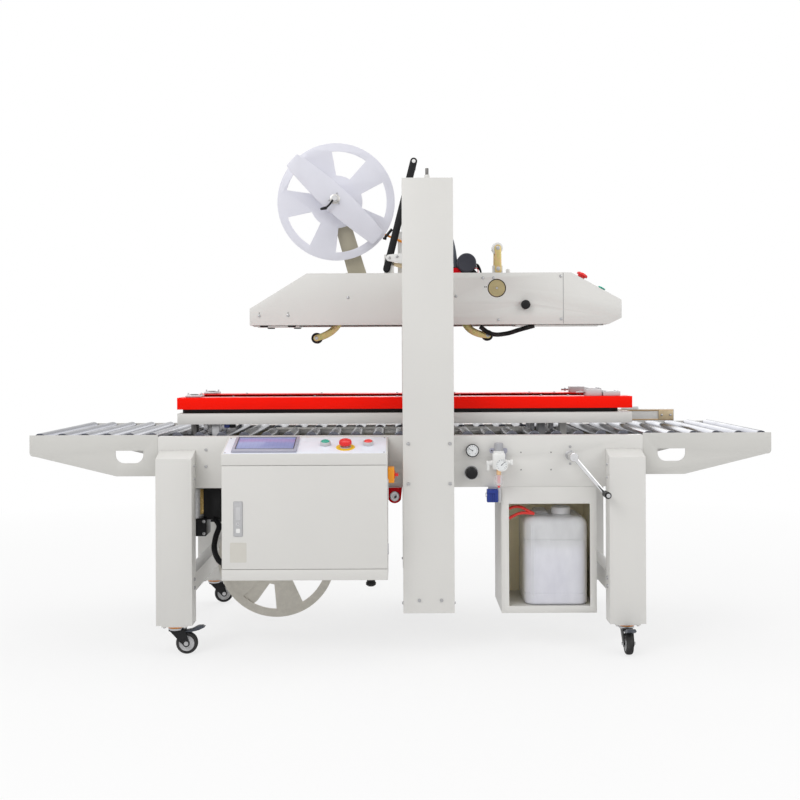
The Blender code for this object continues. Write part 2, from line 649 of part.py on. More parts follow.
filter_regulator(0.297, -0.338)
pressure_knob(0.216, 0.538)


# Electrical cabinet with its sloping panel, door, latch, buttons and isolator

FLOOR, FRONT_EDGE, REAR_EDGE = CABINET_Z
DOOR_Z = (0.2730, 0.5750)
RISE = (REAR_EDGE - FRONT_EDGE) / (CABINET_Y[1] - CABINET_Y[0])
PANEL = Vector((0, -RISE, 1)).normalized()
DOOR_FACE = CABINET_Y[0] + 0.0042


def on_panel(x, y):
    return Vector((x, y, FRONT_EDGE + (y - CABINET_Y[0]) * RISE))


BUTTONS = {
    "emergency_stop": (on_panel(-0.1630, -0.400), 0.0190, (0.008, 0.026), "red_plastic"),
    "start_button": (on_panel(-0.2240, -0.378), 0.0135, (0.006, 0.014), "green_plastic"),
    "stop_button": (on_panel(-0.0960, -0.378), 0.0135, (0.006, 0.014), "red_plastic"),
}


def cabinet():
    front, back = CABINET_Y
    outline = [(front, FLOOR), (back, FLOOR), (back, REAR_EDGE), (front, FRONT_EDGE)]
    shell = plate("cabinet_shell", "X", CABINET_X, outline)
    inner_front, inner_back = front + 0.0075, back - SHEET
    room = [
        (inner_front, FLOOR + SHEET), (inner_back, FLOOR + SHEET),
        (inner_back, REAR_EDGE - SHEET - 0.0015), (inner_front, FRONT_EDGE - SHEET + 0.0005),
    ]
    wall_x = (CABINET_X[0] + SHEET, CABINET_X[1] - SHEET)
    cut(shell, plate("room", "X", wall_x, room))
    cut(shell, block(
        "rebate", (CABINET_X[0] - 0.01, CABINET_X[1] + 0.01), (front - 0.01, DOOR_FACE + GAP),
        (DOOR_Z[0] - 0.0015, DOOR_Z[1] + 0.0015),
    ))
    cut(shell, block(
        "doorway", (CABINET_X[0] + 0.020, CABINET_X[1] - 0.020), (front - 0.01, inner_front + 0.005),
        (DOOR_Z[0] + 0.017, DOOR_Z[1] - 0.017),
    ))
    for place, *_ in BUTTONS.values():
        cut(shell, rod("hole", place - PANEL * 0.02, place + PANEL * 0.02, STEM_HOLE))
    return finish(shell, "body_paint")


HINGE = (CABINET_X[1] - 0.0010, CABINET_Y[0], 0.424)
cabinet()
door_x = (CABINET_X[0] + 0.001, CABINET_X[1] - 0.001)
door = block("cabinet_door", door_x, (CABINET_Y[0], DOOR_FACE), DOOR_Z)
finish(door, "body_paint", origin=HINGE)
latch_y = (CABINET_Y[0] - 0.0035, CABINET_Y[0] - GAP)
latch = block("door_latch", (-0.4870, -0.4630), latch_y, (0.3700, 0.4700))
finish(latch, "steel", origin=(-0.475, latch_y[1], 0.3700))
for button, (place, radius, cap, colour) in BUTTONS.items():
    push_button(button, place, PANEL, radius, cap, colour)
ISOLATOR = (-0.381, 0.541)
isolator = rod("isolator_handle", (CABINET_X[1] + GAP, *ISOLATOR), (-0.016, *ISOLATOR), 0.013)
isolator_bar = block(
    "bar", (-0.017, -0.006), (ISOLATOR[0] - 0.018, ISOLATOR[0] + 0.018),
    (ISOLATOR[1] - 0.004, ISOLATOR[1] + 0.004),
)
finish(join(isolator, isolator_bar), "red_plastic", origin=(CABINET_X[1], *ISOLATOR))


# Water supply: an open box under the rail and the jug that slides out of it

SHELF = 0.130                      # top of the box's floor
water_box = block("water_box", BOX_X, BOX_Y, BOX_Z)
cut(water_box, block(
    "room", (BOX_X[0] + SHEET, BOX_X[1] - SHEET), (BOX_Y[0] + SHEET, BOX_Y[1] - SHEET),
    (SHELF, BOX_Z[1] - SHEET),
))
cut(water_box, block("mouth", (0.330, 0.577), (BOX_Y[0] - 0.01, BOX_Y[0] + 0.01), (SHELF, 0.442)))
finish(water_box, "body_paint")
jug = block("water_jug", (0.380, 0.574), (-0.300, -0.092), (SHELF + GAP, 0.408))
corners = jug.modifiers.new("corners", "BEVEL")
corners.width, corners.segments, corners.limit_method = 0.022, 3, "ANGLE"
jug_cap = rod("cap", (0.499, -0.230, 0.400), (0.499, -0.230, 0.4370), 0.030, sides=24)
finish(join(jug, jug_cap), "jug_plastic")
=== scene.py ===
"""Looks of a carton sealer for gummed paper tape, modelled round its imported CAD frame.

Places are measured from the carton path's centre plane, as they are in the part's source, and every
helper that makes a shape moves it to that plane. A finished piece rides on the CAD body that carries it.
"""

import json
from math import atan, atan2, cos, degrees, pi, radians, sin

import bpy
from mathutils import Matrix, Vector

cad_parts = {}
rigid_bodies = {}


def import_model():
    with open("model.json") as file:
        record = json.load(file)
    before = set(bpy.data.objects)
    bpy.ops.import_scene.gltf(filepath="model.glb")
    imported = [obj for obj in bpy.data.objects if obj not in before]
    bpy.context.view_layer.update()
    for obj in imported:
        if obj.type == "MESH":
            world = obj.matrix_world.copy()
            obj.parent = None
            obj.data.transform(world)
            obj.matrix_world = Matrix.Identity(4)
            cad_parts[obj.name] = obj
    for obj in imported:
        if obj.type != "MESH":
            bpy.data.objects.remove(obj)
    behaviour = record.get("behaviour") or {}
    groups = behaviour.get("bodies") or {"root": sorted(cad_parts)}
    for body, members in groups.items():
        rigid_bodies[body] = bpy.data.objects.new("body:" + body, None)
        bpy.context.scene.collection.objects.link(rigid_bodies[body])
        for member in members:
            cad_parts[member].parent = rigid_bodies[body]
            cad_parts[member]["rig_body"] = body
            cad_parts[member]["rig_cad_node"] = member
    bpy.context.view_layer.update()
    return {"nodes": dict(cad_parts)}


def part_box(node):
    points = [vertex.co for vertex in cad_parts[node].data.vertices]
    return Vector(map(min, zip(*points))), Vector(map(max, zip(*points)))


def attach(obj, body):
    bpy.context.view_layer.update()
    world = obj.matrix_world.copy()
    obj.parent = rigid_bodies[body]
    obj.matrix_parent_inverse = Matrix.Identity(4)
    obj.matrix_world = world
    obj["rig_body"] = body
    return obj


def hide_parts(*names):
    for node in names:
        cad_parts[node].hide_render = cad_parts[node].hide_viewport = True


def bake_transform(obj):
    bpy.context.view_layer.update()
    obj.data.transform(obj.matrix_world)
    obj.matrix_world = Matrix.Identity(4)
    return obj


bl_info = {
    "name": "Carton Sealer",
    "version": (1, 0, 0),
    "blender": (4, 5, 0),
    "location": "3D View > Sidebar > Sealer",
    "description": "Builds the finished carton sealer round its CAD frame",
    "category": "Add Mesh",
}

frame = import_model()
PATH = Vector((0, (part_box("rail_front")[0].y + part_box("rail_rear")[1].y) / 2, 0))
FRONT, BACK, UP, DOWN = Vector((0, -1, 0)), Vector((0, 1, 0)), Vector((0, 0, 1)), Vector((0, 0, -1))
LEFT, RIGHT = Vector((-1, 0, 0)), Vector((1, 0, 0))
SIDES = (("front", -1), ("rear", 1))
WAYS = (("infeed", -1), ("outfeed", 1))

# Axles that several pieces share, as (x, z)
UPPER_REEL, LOWER_REEL = (-0.209, 1.405), (-0.41, 0.2285)
WIDTH_SCREW = (0.5175, 0.59)


def box(node):
    """A CAD node's lowest and highest corners, measured from the path's centre plane."""
    low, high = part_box(node)
    return low - PATH, high - PATH


def middle(node):
    """The middle of a CAD node, measured as its box is."""
    low, high = box(node)
    return (low + high) / 2


# Sizes and colours that can be changed in the sidebar

def colour_setting(name, text, value):
    return bpy.props.FloatVectorProperty(
        name=name, description=text, subtype="COLOR", size=3, min=0, max=1, default=value
    )


def length_setting(name, text, value):
    return bpy.props.FloatProperty(name=name, description=text, unit="LENGTH", min=0, default=value)


class SealerFinishes(bpy.types.PropertyGroup):
    body: colour_setting("Body paint", "Powder coat on the frame, head and cabinet", (0.7, 0.69, 0.665))
    table: colour_setting("Table paint", "Powder coat on the roller tables", (0.6, 0.592, 0.565))
    cover: colour_setting("Belt covers", "Gloss coat on the side drives' covers", (1.0, 0.008, 0.001))
    reel: colour_setting("Upper reel", "Coat on the upper tape reel", (0.72, 0.72, 0.79))
    # The lower reel's colour is the reel paint made darker and warmer: painted shade on a reel that stands in
    # shade.
    lower_reel: colour_setting("Lower reel", "Primer on the lower tape reel", (0.7, 0.67, 0.6))
    khaki: colour_setting("Reel arms", "Coat on the plates that carry the reels", (0.42, 0.385, 0.29))
    zinc: colour_setting("Yellow zinc", "Plating on the sweeping arms", (0.56, 0.44, 0.19))
    signal_red: colour_setting("Signal red", "Stop buttons and handles", (0.75, 0.012, 0.012))
    start_green: colour_setting("Start green", "Start buttons", (0.02, 0.42, 0.3))
    screen: colour_setting("Screen", "The touch screen when lit", (0.25, 0.27, 0.48))
    liquid: colour_setting("Water", "The water in the jug", (0.66, 0.64, 0.8))


class SealerDetails(bpy.types.PropertyGroup):
    fold: length_setting("Fold radius", "Rounding on folded sheet edges", 0.0014)
    edge: length_setting("Edge rounding", "Rounding on cut and machined edges", 0.0006)
    screw: length_setting("Screw radius", "Radius of the button-head screws", 0.0046)
    roller_wall: length_setting("Roller wall", "Wall of the roller tubes", 0.0018)


class SealerStage(bpy.types.PropertyGroup):
    distance: length_setting("Camera distance", "From the camera to the carton path", 3.65)
    eye: length_setting("Eye height", "Camera height above the floor", 0.892)
    lens: bpy.props.FloatProperty(
        name="Lens", description="Focal length in millimetres", min=10, default=49.3
    )
    world_light: bpy.props.FloatProperty(
        name="World light", description="Strength of the even light", min=0, default=0.6
    )


def finishes():
    return bpy.context.scene.sealer_finishes


def details():
    return bpy.context.scene.sealer_details


# Modelling by hand: selecting, settling and rounding

def deselect():
    if bpy.context.object and bpy.context.object.mode != "OBJECT":
        bpy.ops.object.mode_set(mode="OBJECT")
    bpy.ops.object.select_all(action="DESELECT")


def pick(*pieces):
    deselect()
    for piece in pieces:
        piece.select_set(True)
    bpy.context.view_layer.objects.active = pieces[0]


def edit(mode="EDGE", select="DESELECT"):
    bpy.ops.object.mode_set(mode="EDIT")
    bpy.ops.mesh.select_mode(type=mode)
    bpy.ops.mesh.select_all(action=select)


def leave():
    bpy.ops.object.mode_set(mode="OBJECT")


def settle(piece):
    """Leave the piece's place in its mesh, with the object at the origin."""
    pick(piece)
    bpy.ops.object.transform_apply(location=True, rotation=True, scale=True)
    return piece


def outwards(piece):
    """Merge coincident corners and turn every face outwards."""
    pick(piece)
    edit("VERT", "SELECT")
    bpy.ops.mesh.remove_doubles(threshold=1e-6)
    bpy.ops.mesh.normals_make_consistent(inside=False)
    leave()
    return piece


def pick_faces(piece, wanted):
    """Go into edit mode with the faces selected whose centre and normal pass a test."""
    pick(piece)
    edit("FACE")
    leave()
    for face in piece.data.polygons:
        face.select = wanted(face.center - PATH, face.normal)
    bpy.ops.object.mode_set(mode="EDIT")


def pick_edges(piece, wanted):
    """Go into edit mode with the edges selected whose middle and direction pass a test."""
    pick(piece)
    edit("EDGE")
    leave()
    corners = piece.data.vertices
    for edge in piece.data.edges:
        start, end = (corners[i].co for i in edge.vertices)
        edge.select = wanted((start + end) / 2 - PATH, (end - start).normalized())
    bpy.ops.object.mode_set(mode="EDIT")


def round_edges(piece, width, segments=2, sharpness=30):
    """Bevel every edge that is sharper than an angle."""
    if width:
        pick(piece)
        edit("EDGE")
        bpy.ops.mesh.edges_select_sharp(sharpness=radians(sharpness))
        bpy.ops.mesh.bevel(offset=width, segments=segments, affect="EDGES", clamp_overlap=True)
        leave()
    return piece


def turn(piece, angle, axis, centre):
    """Turn a settled piece about an axis through a point, by an angle in degrees."""
    centre = Vector(centre) + PATH
    spin = Matrix.Rotation(radians(angle), 4, Vector(axis))
    piece.matrix_world = Matrix.Translation(centre) @ spin @ Matrix.Translation(-centre)
    return settle(piece)


def merged(name, pieces):
    """Several loose shapes of one material as one piece."""
    pick(*pieces)
    if len(pieces) > 1:
        bpy.ops.object.join()
    piece = bpy.context.object
    piece.name = name
    return piece


def copied(piece, offset):
    """A copy with its own mesh, moved by an offset."""
    pick(piece)
    bpy.ops.object.duplicate(linked=False)
    twin = bpy.context.object
    twin.location = offset
    return settle(twin)


def fan(first, angles, axis, centre):
    """Copies of a shape turned about an axis to each angle, in its place."""
    made = [turn(copied(first, (0, 0, 0)), angle, axis, centre) for angle in angles]
    bpy.data.objects.remove(first, do_unlink=True)
    return made


def carved(piece, *cutters):
    """Cut shapes out of a piece and remove them."""
    for cutter in cutters:
        modifier = piece.modifiers.new("cut", "BOOLEAN")
        modifier.operation = "DIFFERENCE"
        modifier.object = cutter
        pick(piece)
        bpy.ops.object.modifier_apply(modifier=modifier.name)
        bpy.data.objects.remove(cutter, do_unlink=True)
    return piece


# Shapes that pieces start from

def spread(place, dx=0.0, dy=0.0, dz=0.0):
    """The places at a distance either way from a middle, along each axis that has one."""
    x, y, z = place
    return [
        (x + u, y + v, z + w) for u in sorted({-dx, dx}) for v in sorted({-dy, dy}) for w in sorted({-dz, dz})
    ]


def both_faces(x, z, reach):
    """A place and its outward normal on each side of the path."""
    return [((x, -reach, z), FRONT), ((x, reach, z), BACK)]


def block(name, low, high, rounding=0.0008, segments=2):
    """A box between two corners with eased edges."""
    low, high = Vector(low), Vector(high)
    deselect()
    bpy.ops.mesh.primitive_cube_add(size=1, location=(low + high) / 2 + PATH, scale=high - low)
    piece = bpy.context.object
    piece.name = name
    return round_edges(settle(piece), rounding, segments)


def around(name, centre, size, rounding=0.0008, segments=2):
    """A box of a size about its centre."""
    half = Vector(size) / 2
    return block(name, Vector(centre) - half, Vector(centre) + half, rounding, segments)


def turned(name, base, axis, stations, sides=32, rounding=0.0, bored=False):
    """A turned piece from (radius, height) stations along its axis; a bored one is a ring."""
    deselect()
    radius, height = stations[0]
    bpy.ops.mesh.primitive_circle_add(
        vertices=sides, radius=radius, fill_type="NGON", location=(0, 0, height)
    )
    piece = bpy.context.object
    piece.name = name
    settle(piece)
    edit("FACE", "SELECT")
    for (r0, z0), (r1, z1) in zip(stations, stations[1:]):
        bpy.ops.mesh.extrude_region_move(TRANSFORM_OT_translate={"value": (0, 0, z1 - z0)})
        if r1 != r0:
            bpy.ops.transform.resize(value=(r1 / r0, r1 / r0, 1), center_override=(0, 0, z1))
    if bored:
        leave()
        for face in piece.data.polygons:
            face.select = len(face.vertices) == sides
        bpy.ops.object.mode_set(mode="EDIT")
        bpy.ops.mesh.bridge_edge_loops()
    bpy.ops.mesh.select_all(action="SELECT")
    bpy.ops.mesh.normals_make_consistent(inside=False)
    leave()
    round_edges(piece, rounding)
    piece.rotation_mode = "QUATERNION"
    piece.rotation_quaternion = UP.rotation_difference(Vector(axis))
    piece.location = Vector(base) + PATH
    return settle(piece)


def both_ends(half, length):
    """The stations of a turned piece whose ends are alike, from those of its first half."""
    return half + [(radius, length - height) for radius, height in reversed(half)]


def drum(name, start, end, radius, rounding=0.0005, sides=28):
    """A round bar between two points with eased rims."""
    start, end = Vector(start), Vector(end)
    length = (end - start).length
    return turned(name, start, end - start, [(radius, 0), (radius, length)], sides, rounding)


def ring(name, base, axis, inner, outer, height, sides=32, rounding=0.0004):
    """A round collar with a hole through it."""
    stations = [(inner, 0), (outer, 0), (outer, height), (inner, height)]
    return turned(name, base, axis, stations, sides, rounding, bored=True)


def from_curve(name, curve, place=None, rotation=None):
    """A curve as a settled mesh with its faces outwards."""
    piece = bpy.data.objects.new(name, curve)
    bpy.context.scene.collection.objects.link(piece)
    pick(piece)
    bpy.ops.object.convert(target="MESH")
    piece = bpy.context.object
    piece.name = name
    if rotation:
        piece.rotation_euler = rotation
    piece.location = PATH + Vector(place or (0, 0, 0))
    return outwards(settle(piece))


def hose(name, points, radius, resolution=3):
    """A tube on one smooth curve through points, closed at both ends."""
    curve = bpy.data.curves.new(name, "CURVE")
    curve.dimensions = "3D"
    curve.bevel_depth = radius
    curve.bevel_resolution = resolution
    curve.resolution_u = 8
    curve.use_fill_caps = True
    spline = curve.splines.new("BEZIER")
    spline.bezier_points.add(len(points) - 1)
    for knot, point in zip(spline.bezier_points, points):
        knot.co = point
        knot.handle_left_type = knot.handle_right_type = "AUTO"
    return from_curve(name, curve)


# The turn that lays a flat outline's two axes in each plane
LAID = {"XZ": (pi / 2, 0, 0), "YZ": (pi / 2, 0, pi / 2), "XY": (0, 0, 0)}
ACROSS = {"XZ": 1, "YZ": 0, "XY": 2}


def cut_plate(name, plane, span, outline, holes=(), rounding=0.0006):
    """A cut plate with holes, from one value to another across its plane, with eased edges."""
    low, high = sorted(span)
    curve = bpy.data.curves.new(name, "CURVE")
    curve.dimensions = "2D"
    curve.fill_mode = "BOTH"
    curve.extrude = (high - low) / 2
    for loop in (outline, *holes):
        spline = curve.splines.new("POLY")
        spline.points.add(len(loop) - 1)
        for corner, point in zip(spline.points, loop):
            corner.co = (*point, 0, 1)
        spline.use_cyclic_u = True
    place = Vector((0, 0, 0))
    place[ACROSS[plane]] = (low + high) / 2
    piece = from_curve(name, curve, place, LAID[plane])
    edit("FACE", "SELECT")
    bpy.ops.mesh.dissolve_limited(angle_limit=radians(1))
    leave()
    return round_edges(piece, rounding, sharpness=40)


def at_angles(centre, radius, angles):
    """Points on a circle, at angles in degrees."""
    return [(centre[0] + radius * cos(radians(a)), centre[1] + radius * sin(radians(a))) for a in angles]


def arc(centre, radius, start, end, steps):
    """Points on an arc, from one angle to another in degrees."""
    return at_angles(centre, radius, [start + (end - start) * i / steps for i in range(steps + 1)])


def circle(centre, radius, steps=48):
    return arc(centre, radius, 0, 360, steps)[:-1]


def capsule(start, end, start_radius, end_radius, steps=12):
    """The outline of a bar with round ends, which may differ in radius."""
    lean = degrees(atan2(end[1] - start[1], end[0] - start[0]))
    nose = arc(end, end_radius, lean - 90, lean + 90, steps)
    return nose + arc(start, start_radius, lean + 90, lean + 270, steps)


def rounded(low, high, radius, steps=4):
    """A rectangle's outline with round corners."""
    (x0, z0), (x1, z1) = low, high
    corners = [((x1, z0), -90), ((x1, z1), 0), ((x0, z1), 90), ((x0, z0), 180)]
    points = []
    for (x, z), start in corners:
        centre = (x - radius if x == x1 else x + radius, z - radius if z == z1 else z + radius)
        points += arc(centre, radius, start, start + 90, steps)
    return points


def refined(node, rounding, segments=2, sharpness=25):
    """A copy of a CAD node with whole faces and rounded edges, to be shown in its place."""
    pick(frame["nodes"][node])
    bpy.ops.object.duplicate(linked=False)
    piece = bpy.context.object
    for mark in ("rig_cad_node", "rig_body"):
        del piece[mark]
    piece.parent = None
    piece.name = f"finished_{node}"
    edit("VERT", "SELECT")
    bpy.ops.mesh.customdata_custom_splitnormals_clear()
    bpy.ops.mesh.remove_doubles(threshold=1e-5)
    bpy.ops.mesh.dissolve_limited(angle_limit=radians(1.5))
    leave()
    return round_edges(piece, rounding, segments, sharpness)


def screw_master(radius):
    """A button-head screw with its hexagon socket, standing on the origin."""
    stations = [
        (radius, 0), (radius, radius * 0.25), (radius * 0.82, radius * 0.62), (radius * 0.46, radius * 0.72),
        (radius * 0.42, radius * 0.3)
    ]
    return turned("screw", -PATH, UP, stations, 18)


def bolt_master(radius):
    """A hexagon bolt head on its washer, standing on the origin."""
    washer = turned(
        "washer", -PATH, UP, [(radius * 1.35, 0), (radius * 1.35, radius * 0.22)], 20, radius * 0.06
    )
    head = turned(
        "head", -PATH, UP, [(radius, radius * 0.2), (radius, radius * 0.78), (radius * 0.86, radius * 0.92)],
        6
    )
    return merged("bolt", [washer, head])


def set_of(name, master, places):
    """Copies of a fastener on many (place, normal) pairs, as one piece."""
    made = []
    for place, normal in places:
        pick(master)
        bpy.ops.object.duplicate(linked=False)
        twin = bpy.context.object
        twin.rotation_mode = "QUATERNION"
        twin.rotation_quaternion = UP.rotation_difference(Vector(normal))
        twin.location = Vector(place) + PATH
        made.append(settle(twin))
    bpy.data.objects.remove(master, do_unlink=True)
    return merged(name, made)


def screws(name, places, normal, radius=None):
    """Button-head screws that face one way."""
    return set_of(name, screw_master(radius or details().screw), [(place, normal) for place in places])


def bolts(name, places, normal, radius=0.005):
    return set_of(name, bolt_master(radius), [(place, normal) for place in places])


def fit(piece, body, finish, replaces=()):
    """Shade, paint and mount a finished piece on the CAD body that carries it."""
    pick(piece)
    bpy.ops.object.shade_smooth_by_angle(angle=radians(35))
    material, slot = FINISHES[finish]
    piece.data.materials.clear()
    piece.data.materials.append(material)
    for face in piece.data.polygons:
        face.material_index = 0
    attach(piece, body)
    if replaces:
        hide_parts(*([replaces] if isinstance(replaces, str) else replaces))
    return piece


def finish_node(node, body, finish, rounding, segments=2):
    """Show a CAD node by its refined copy."""
    return fit(refined(node, rounding, segments), body, finish, node)


# Materials

class Value:
    """A shader socket that does sums: an expression on values adds its Math nodes."""

    def __init__(self, tree, socket):
        self.tree = tree
        self.socket = socket

    def sum(self, operation, first, second):
        node = self.tree.nodes.new("ShaderNodeMath")
        node.operation = operation
        for place, term in zip(node.inputs, (first, second)):
            join(self.tree, term, place)
        return Value(self.tree, node.outputs[0])

    def __add__(self, other):
        return self.sum("ADD", self, other)

    def __radd__(self, other):
        return self.sum("ADD", other, self)

    def __sub__(self, other):
        return self.sum("SUBTRACT", self, other)

    def __rsub__(self, other):
        return self.sum("SUBTRACT", other, self)

    def __mul__(self, other):
        return self.sum("MULTIPLY", self, other)

    def __rmul__(self, other):
        return self.sum("MULTIPLY", other, self)

    def __gt__(self, other):
        return self.sum("GREATER_THAN", self, other)

    def __lt__(self, other):
        return self.sum("LESS_THAN", self, other)


def join(tree, term, place):
    """Link a value to a socket, or set the socket to a plain number, colour or vector."""
    if isinstance(term, Value):
        tree.links.new(term.socket, place)
    elif place.type == "RGBA":
        place.default_value = (*term, 1)[:4]
    else:
        place.default_value = term


class Coat:
    """A material in the making. One method adds any node; the rest are this machine's patterns."""

    def __init__(self, name):
        self.material = bpy.data.materials.new(name)
        self.material.use_nodes = True
        self.tree = self.material.node_tree
        self.tree.nodes.clear()
        self.place = self.add("TexCoord", output="Object")

    def add(self, kind, settings=None, inputs=None, output=0):
        """Add a node: its settings first, then the values or links of its sockets."""
        node = self.tree.nodes.new(f"ShaderNode{kind}")
        for setting, value in (settings or {}).items():
            if setting == "stops":
                ramp = node.color_ramp
                while len(ramp.elements) < len(value):
                    ramp.elements.new(1)
                for element, (position, colour) in zip(ramp.elements, value):
                    element.position = position
                    element.color = (*colour, 1)
            else:
                setattr(node, setting, value)
        for socket, term in (inputs or {}).items():
            join(self.tree, term, node.inputs[socket])
        return Value(self.tree, node.outputs[output])

    def stretched(self, scale):
        return self.add("Mapping", {}, {"Vector": self.place, "Scale": scale})

    def noise(self, scale, detail=2.0, roughness=0.5, stretch=None, distortion=0.0):
        """Noise from 0 to 1; a stretch per axis makes brushing or turning marks."""
        place = self.stretched(stretch) if stretch else self.place
        return self.add("TexNoise", {}, {
            "Vector": place, "Scale": scale, "Detail": detail, "Roughness": roughness,
            "Distortion": distortion,
        })

    def between(self, factor, first, second):
        """A colour that runs from one to another."""
        return self.add("Mix", {"data_type": "RGBA"}, {0: factor, 6: first, 7: second}, output=2)

    def span(self, value, low, high, to_low=0.0, to_high=1.0):
        """A value stretched from one range to another and clamped."""
        return self.add("MapRange", {"clamp": True}, {
            "Value": value, "From Min": low, "From Max": high, "To Min": to_low, "To Max": to_high,
        })

    def heights(self, *layers):
        """Bump from (height, depth in metres) layers."""
        normal = None
        for height, depth in layers:
            inputs = {"Height": height, "Distance": depth, "Strength": 1.0}
            if normal:
                inputs["Normal"] = normal
            normal = self.add("Bump", {}, inputs)
        return normal

    def surface(self, **inputs):
        """The Principled surface, named in Blender's socket names with _ for a space."""
        sockets = {name.replace("_", " "): term for name, term in inputs.items()}
        shader = self.add("BsdfPrincipled", {}, sockets)
        self.output(shader)
        return self.material

    def output(self, shader):
        join(self.tree, shader, self.tree.nodes.new("ShaderNodeOutputMaterial").inputs["Surface"])


def tinted(colour, factor):
    """A colour made lighter or darker."""
    return tuple(min(1.0, channel * factor) for channel in colour)


def powder_coat(name, colour, roughness=0.44, peel=0.00012):
    """Baked powder: a fine orange peel, faint clouding and a little dust in fine dark specks."""
    coat = Coat(name)
    cloud = coat.noise(1.7, 3)
    film = coat.noise(26, 3, 0.6)
    grain = coat.noise(480, 2)
    tone = coat.between(coat.span(cloud, 0.3, 0.7), tinted(colour, 0.965), tinted(colour, 1.025))
    specks = coat.span(coat.noise(900, 1), 0.68, 0.74)
    tone = coat.between(specks * 0.22, tone, tinted(colour, 0.8))
    shine = roughness + (film - 0.5) * 0.16 + (grain - 0.5) * 0.08
    normal = coat.heights((coat.noise(170, 2), peel), (grain, peel * 0.35))
    return coat.surface(
        Base_Color=tone, Roughness=shine, Normal=normal, Coat_Weight=coat.span(film, 0.2, 0.8, 0.02, 0.12),
        Coat_Roughness=0.3
    )


def gloss_coat(name, colour, roughness=0.28):
    """Sprayed gloss: long waves, a clear top coat, rubbed thin in places."""
    coat = Coat(name)
    rub = coat.span(coat.noise(9, 4, 0.6, stretch=(0.35, 1, 1)), 0.45, 0.75)
    tone = coat.between(rub, colour, tinted(colour, 0.9))
    shine = roughness + rub * 0.12 + (coat.noise(300, 1) - 0.5) * 0.06
    normal = coat.heights((coat.noise(130, 1), 0.00012), (coat.noise(900, 1), 0.00002))
    return coat.surface(
        Base_Color=tone, Roughness=shine, Normal=normal, Coat_Weight=0.03, Coat_Roughness=0.12,
        Specular_IOR_Level=0.07
    )


def drawn_metal(name, colour, roughness, stretch, scale=12.0, depth=0.00004):
    """Metal with marks that run along an axis: drawn tube, turned shaft or brushed plate."""
    coat = Coat(name)
    marks = coat.noise(scale, 4, 0.65, stretch=stretch)
    smudge = coat.noise(14, 3, 0.55)
    tone = coat.between(marks, tinted(colour, 0.8), tinted(colour, 1.12))
    tone = coat.between(coat.span(smudge, 0.55, 0.8) * 0.35, tone, tinted(colour, 0.72))
    shine = roughness + (marks - 0.5) * 0.18 + (smudge - 0.5) * 0.2
    return coat.surface(Base_Color=tone, Roughness=shine, Metallic=1.0, Normal=coat.heights((marks, depth)))


def yellow_zinc(name, colour):
    """Passivated plating, whose gold drifts into green and rose."""
    coat = Coat(name)
    drift = coat.noise(34, 3, 0.6, distortion=1.2)
    tone = coat.add("ValToRGB", {"stops": [
        (0.25, (colour[0] * 0.7, colour[1] * 0.92, colour[2] * 0.9)),
        (0.5, colour),
        (0.75, (min(1.0, colour[0] * 1.08), colour[1] * 0.84, colour[2] * 1.25)),
    ]}, {"Fac": drift})
    shine = 0.27 + coat.span(coat.noise(210, 3), 0.3, 0.7) * 0.16
    return coat.surface(
        Base_Color=tone, Roughness=shine, Metallic=0.9, Normal=coat.heights((coat.noise(420, 2), 0.00003))
    )


def moulded(name, colour, roughness=0.38, depth=0.00006, gleam=0.5):
    """Moulded plastic: spark-eroded grain with finger-polished patches."""
    coat = Coat(name)
    polish = coat.span(coat.noise(22, 3), 0.35, 0.75)
    grain = coat.noise(520, 2, 0.6)
    tone = coat.between(polish * 0.5, colour, tinted(colour, 1.18))
    shine = roughness + (0.5 - polish) * 0.16 + (grain - 0.5) * 0.1
    normal = coat.heights((grain, depth))
    return coat.surface(Base_Color=tone, Roughness=shine, Normal=normal, Specular_IOR_Level=gleam)


def rubber(name, colour, dust=(0.16, 0.155, 0.15)):
    """Rubber with a bloom of dust in its pores."""
    coat = Coat(name)
    pores = coat.noise(700, 2, 0.7)
    bloom = coat.span(coat.noise(30, 4, 0.65), 0.45, 0.85)
    tone = coat.between(bloom * 0.45, colour, dust)
    return coat.surface(
        Base_Color=tone, Roughness=0.62 + bloom * 0.2, Normal=coat.heights((pores, 0.0001)),
        Specular_IOR_Level=0.2
    )


def belting(name):
    """Conveyor belting with its diamond grip moulded in."""
    coat = Coat(name)
    weave = [
        coat.add("TexWave", {"bands_direction": "X", "wave_profile": "TRI"}, {
            "Vector": coat.add("Mapping", {}, {
                "Vector": coat.place, "Rotation": (0, radians(angle), 0), "Scale": (1, 1, 1),
            }),
            "Scale": 60.0,
        })
        for angle in (45, -45)
    ]
    grip = weave[0] * weave[1]
    wear = coat.span(coat.noise(7, 3, stretch=(0.3, 1, 4)), 0.35, 0.8)
    tone = coat.between(wear, (0.012, 0.012, 0.013), (0.055, 0.053, 0.05))
    return coat.surface(
        Base_Color=tone, Roughness=0.55 + wear * 0.25, Specular_IOR_Level=0.2,
        Normal=coat.heights((grip, 0.0006), (coat.noise(600, 2), 0.00005))
    )


def see_through(name, colour, alpha, roughness=0.12, cloudiness=0.1):
    """Clear or cloudy plastic, which thickens in places."""
    coat = Coat(name)
    cloud = coat.noise(11, 3, 0.6)
    tone = coat.between(cloud, tinted(colour, 0.93), tinted(colour, 1.04))
    shine = roughness + coat.noise(240, 2) * 0.1
    return coat.surface(
        Base_Color=tone, Roughness=shine, Alpha=alpha + (cloud - 0.5) * cloudiness,
        Normal=coat.heights((coat.noise(75, 2), 0.00015))
    )


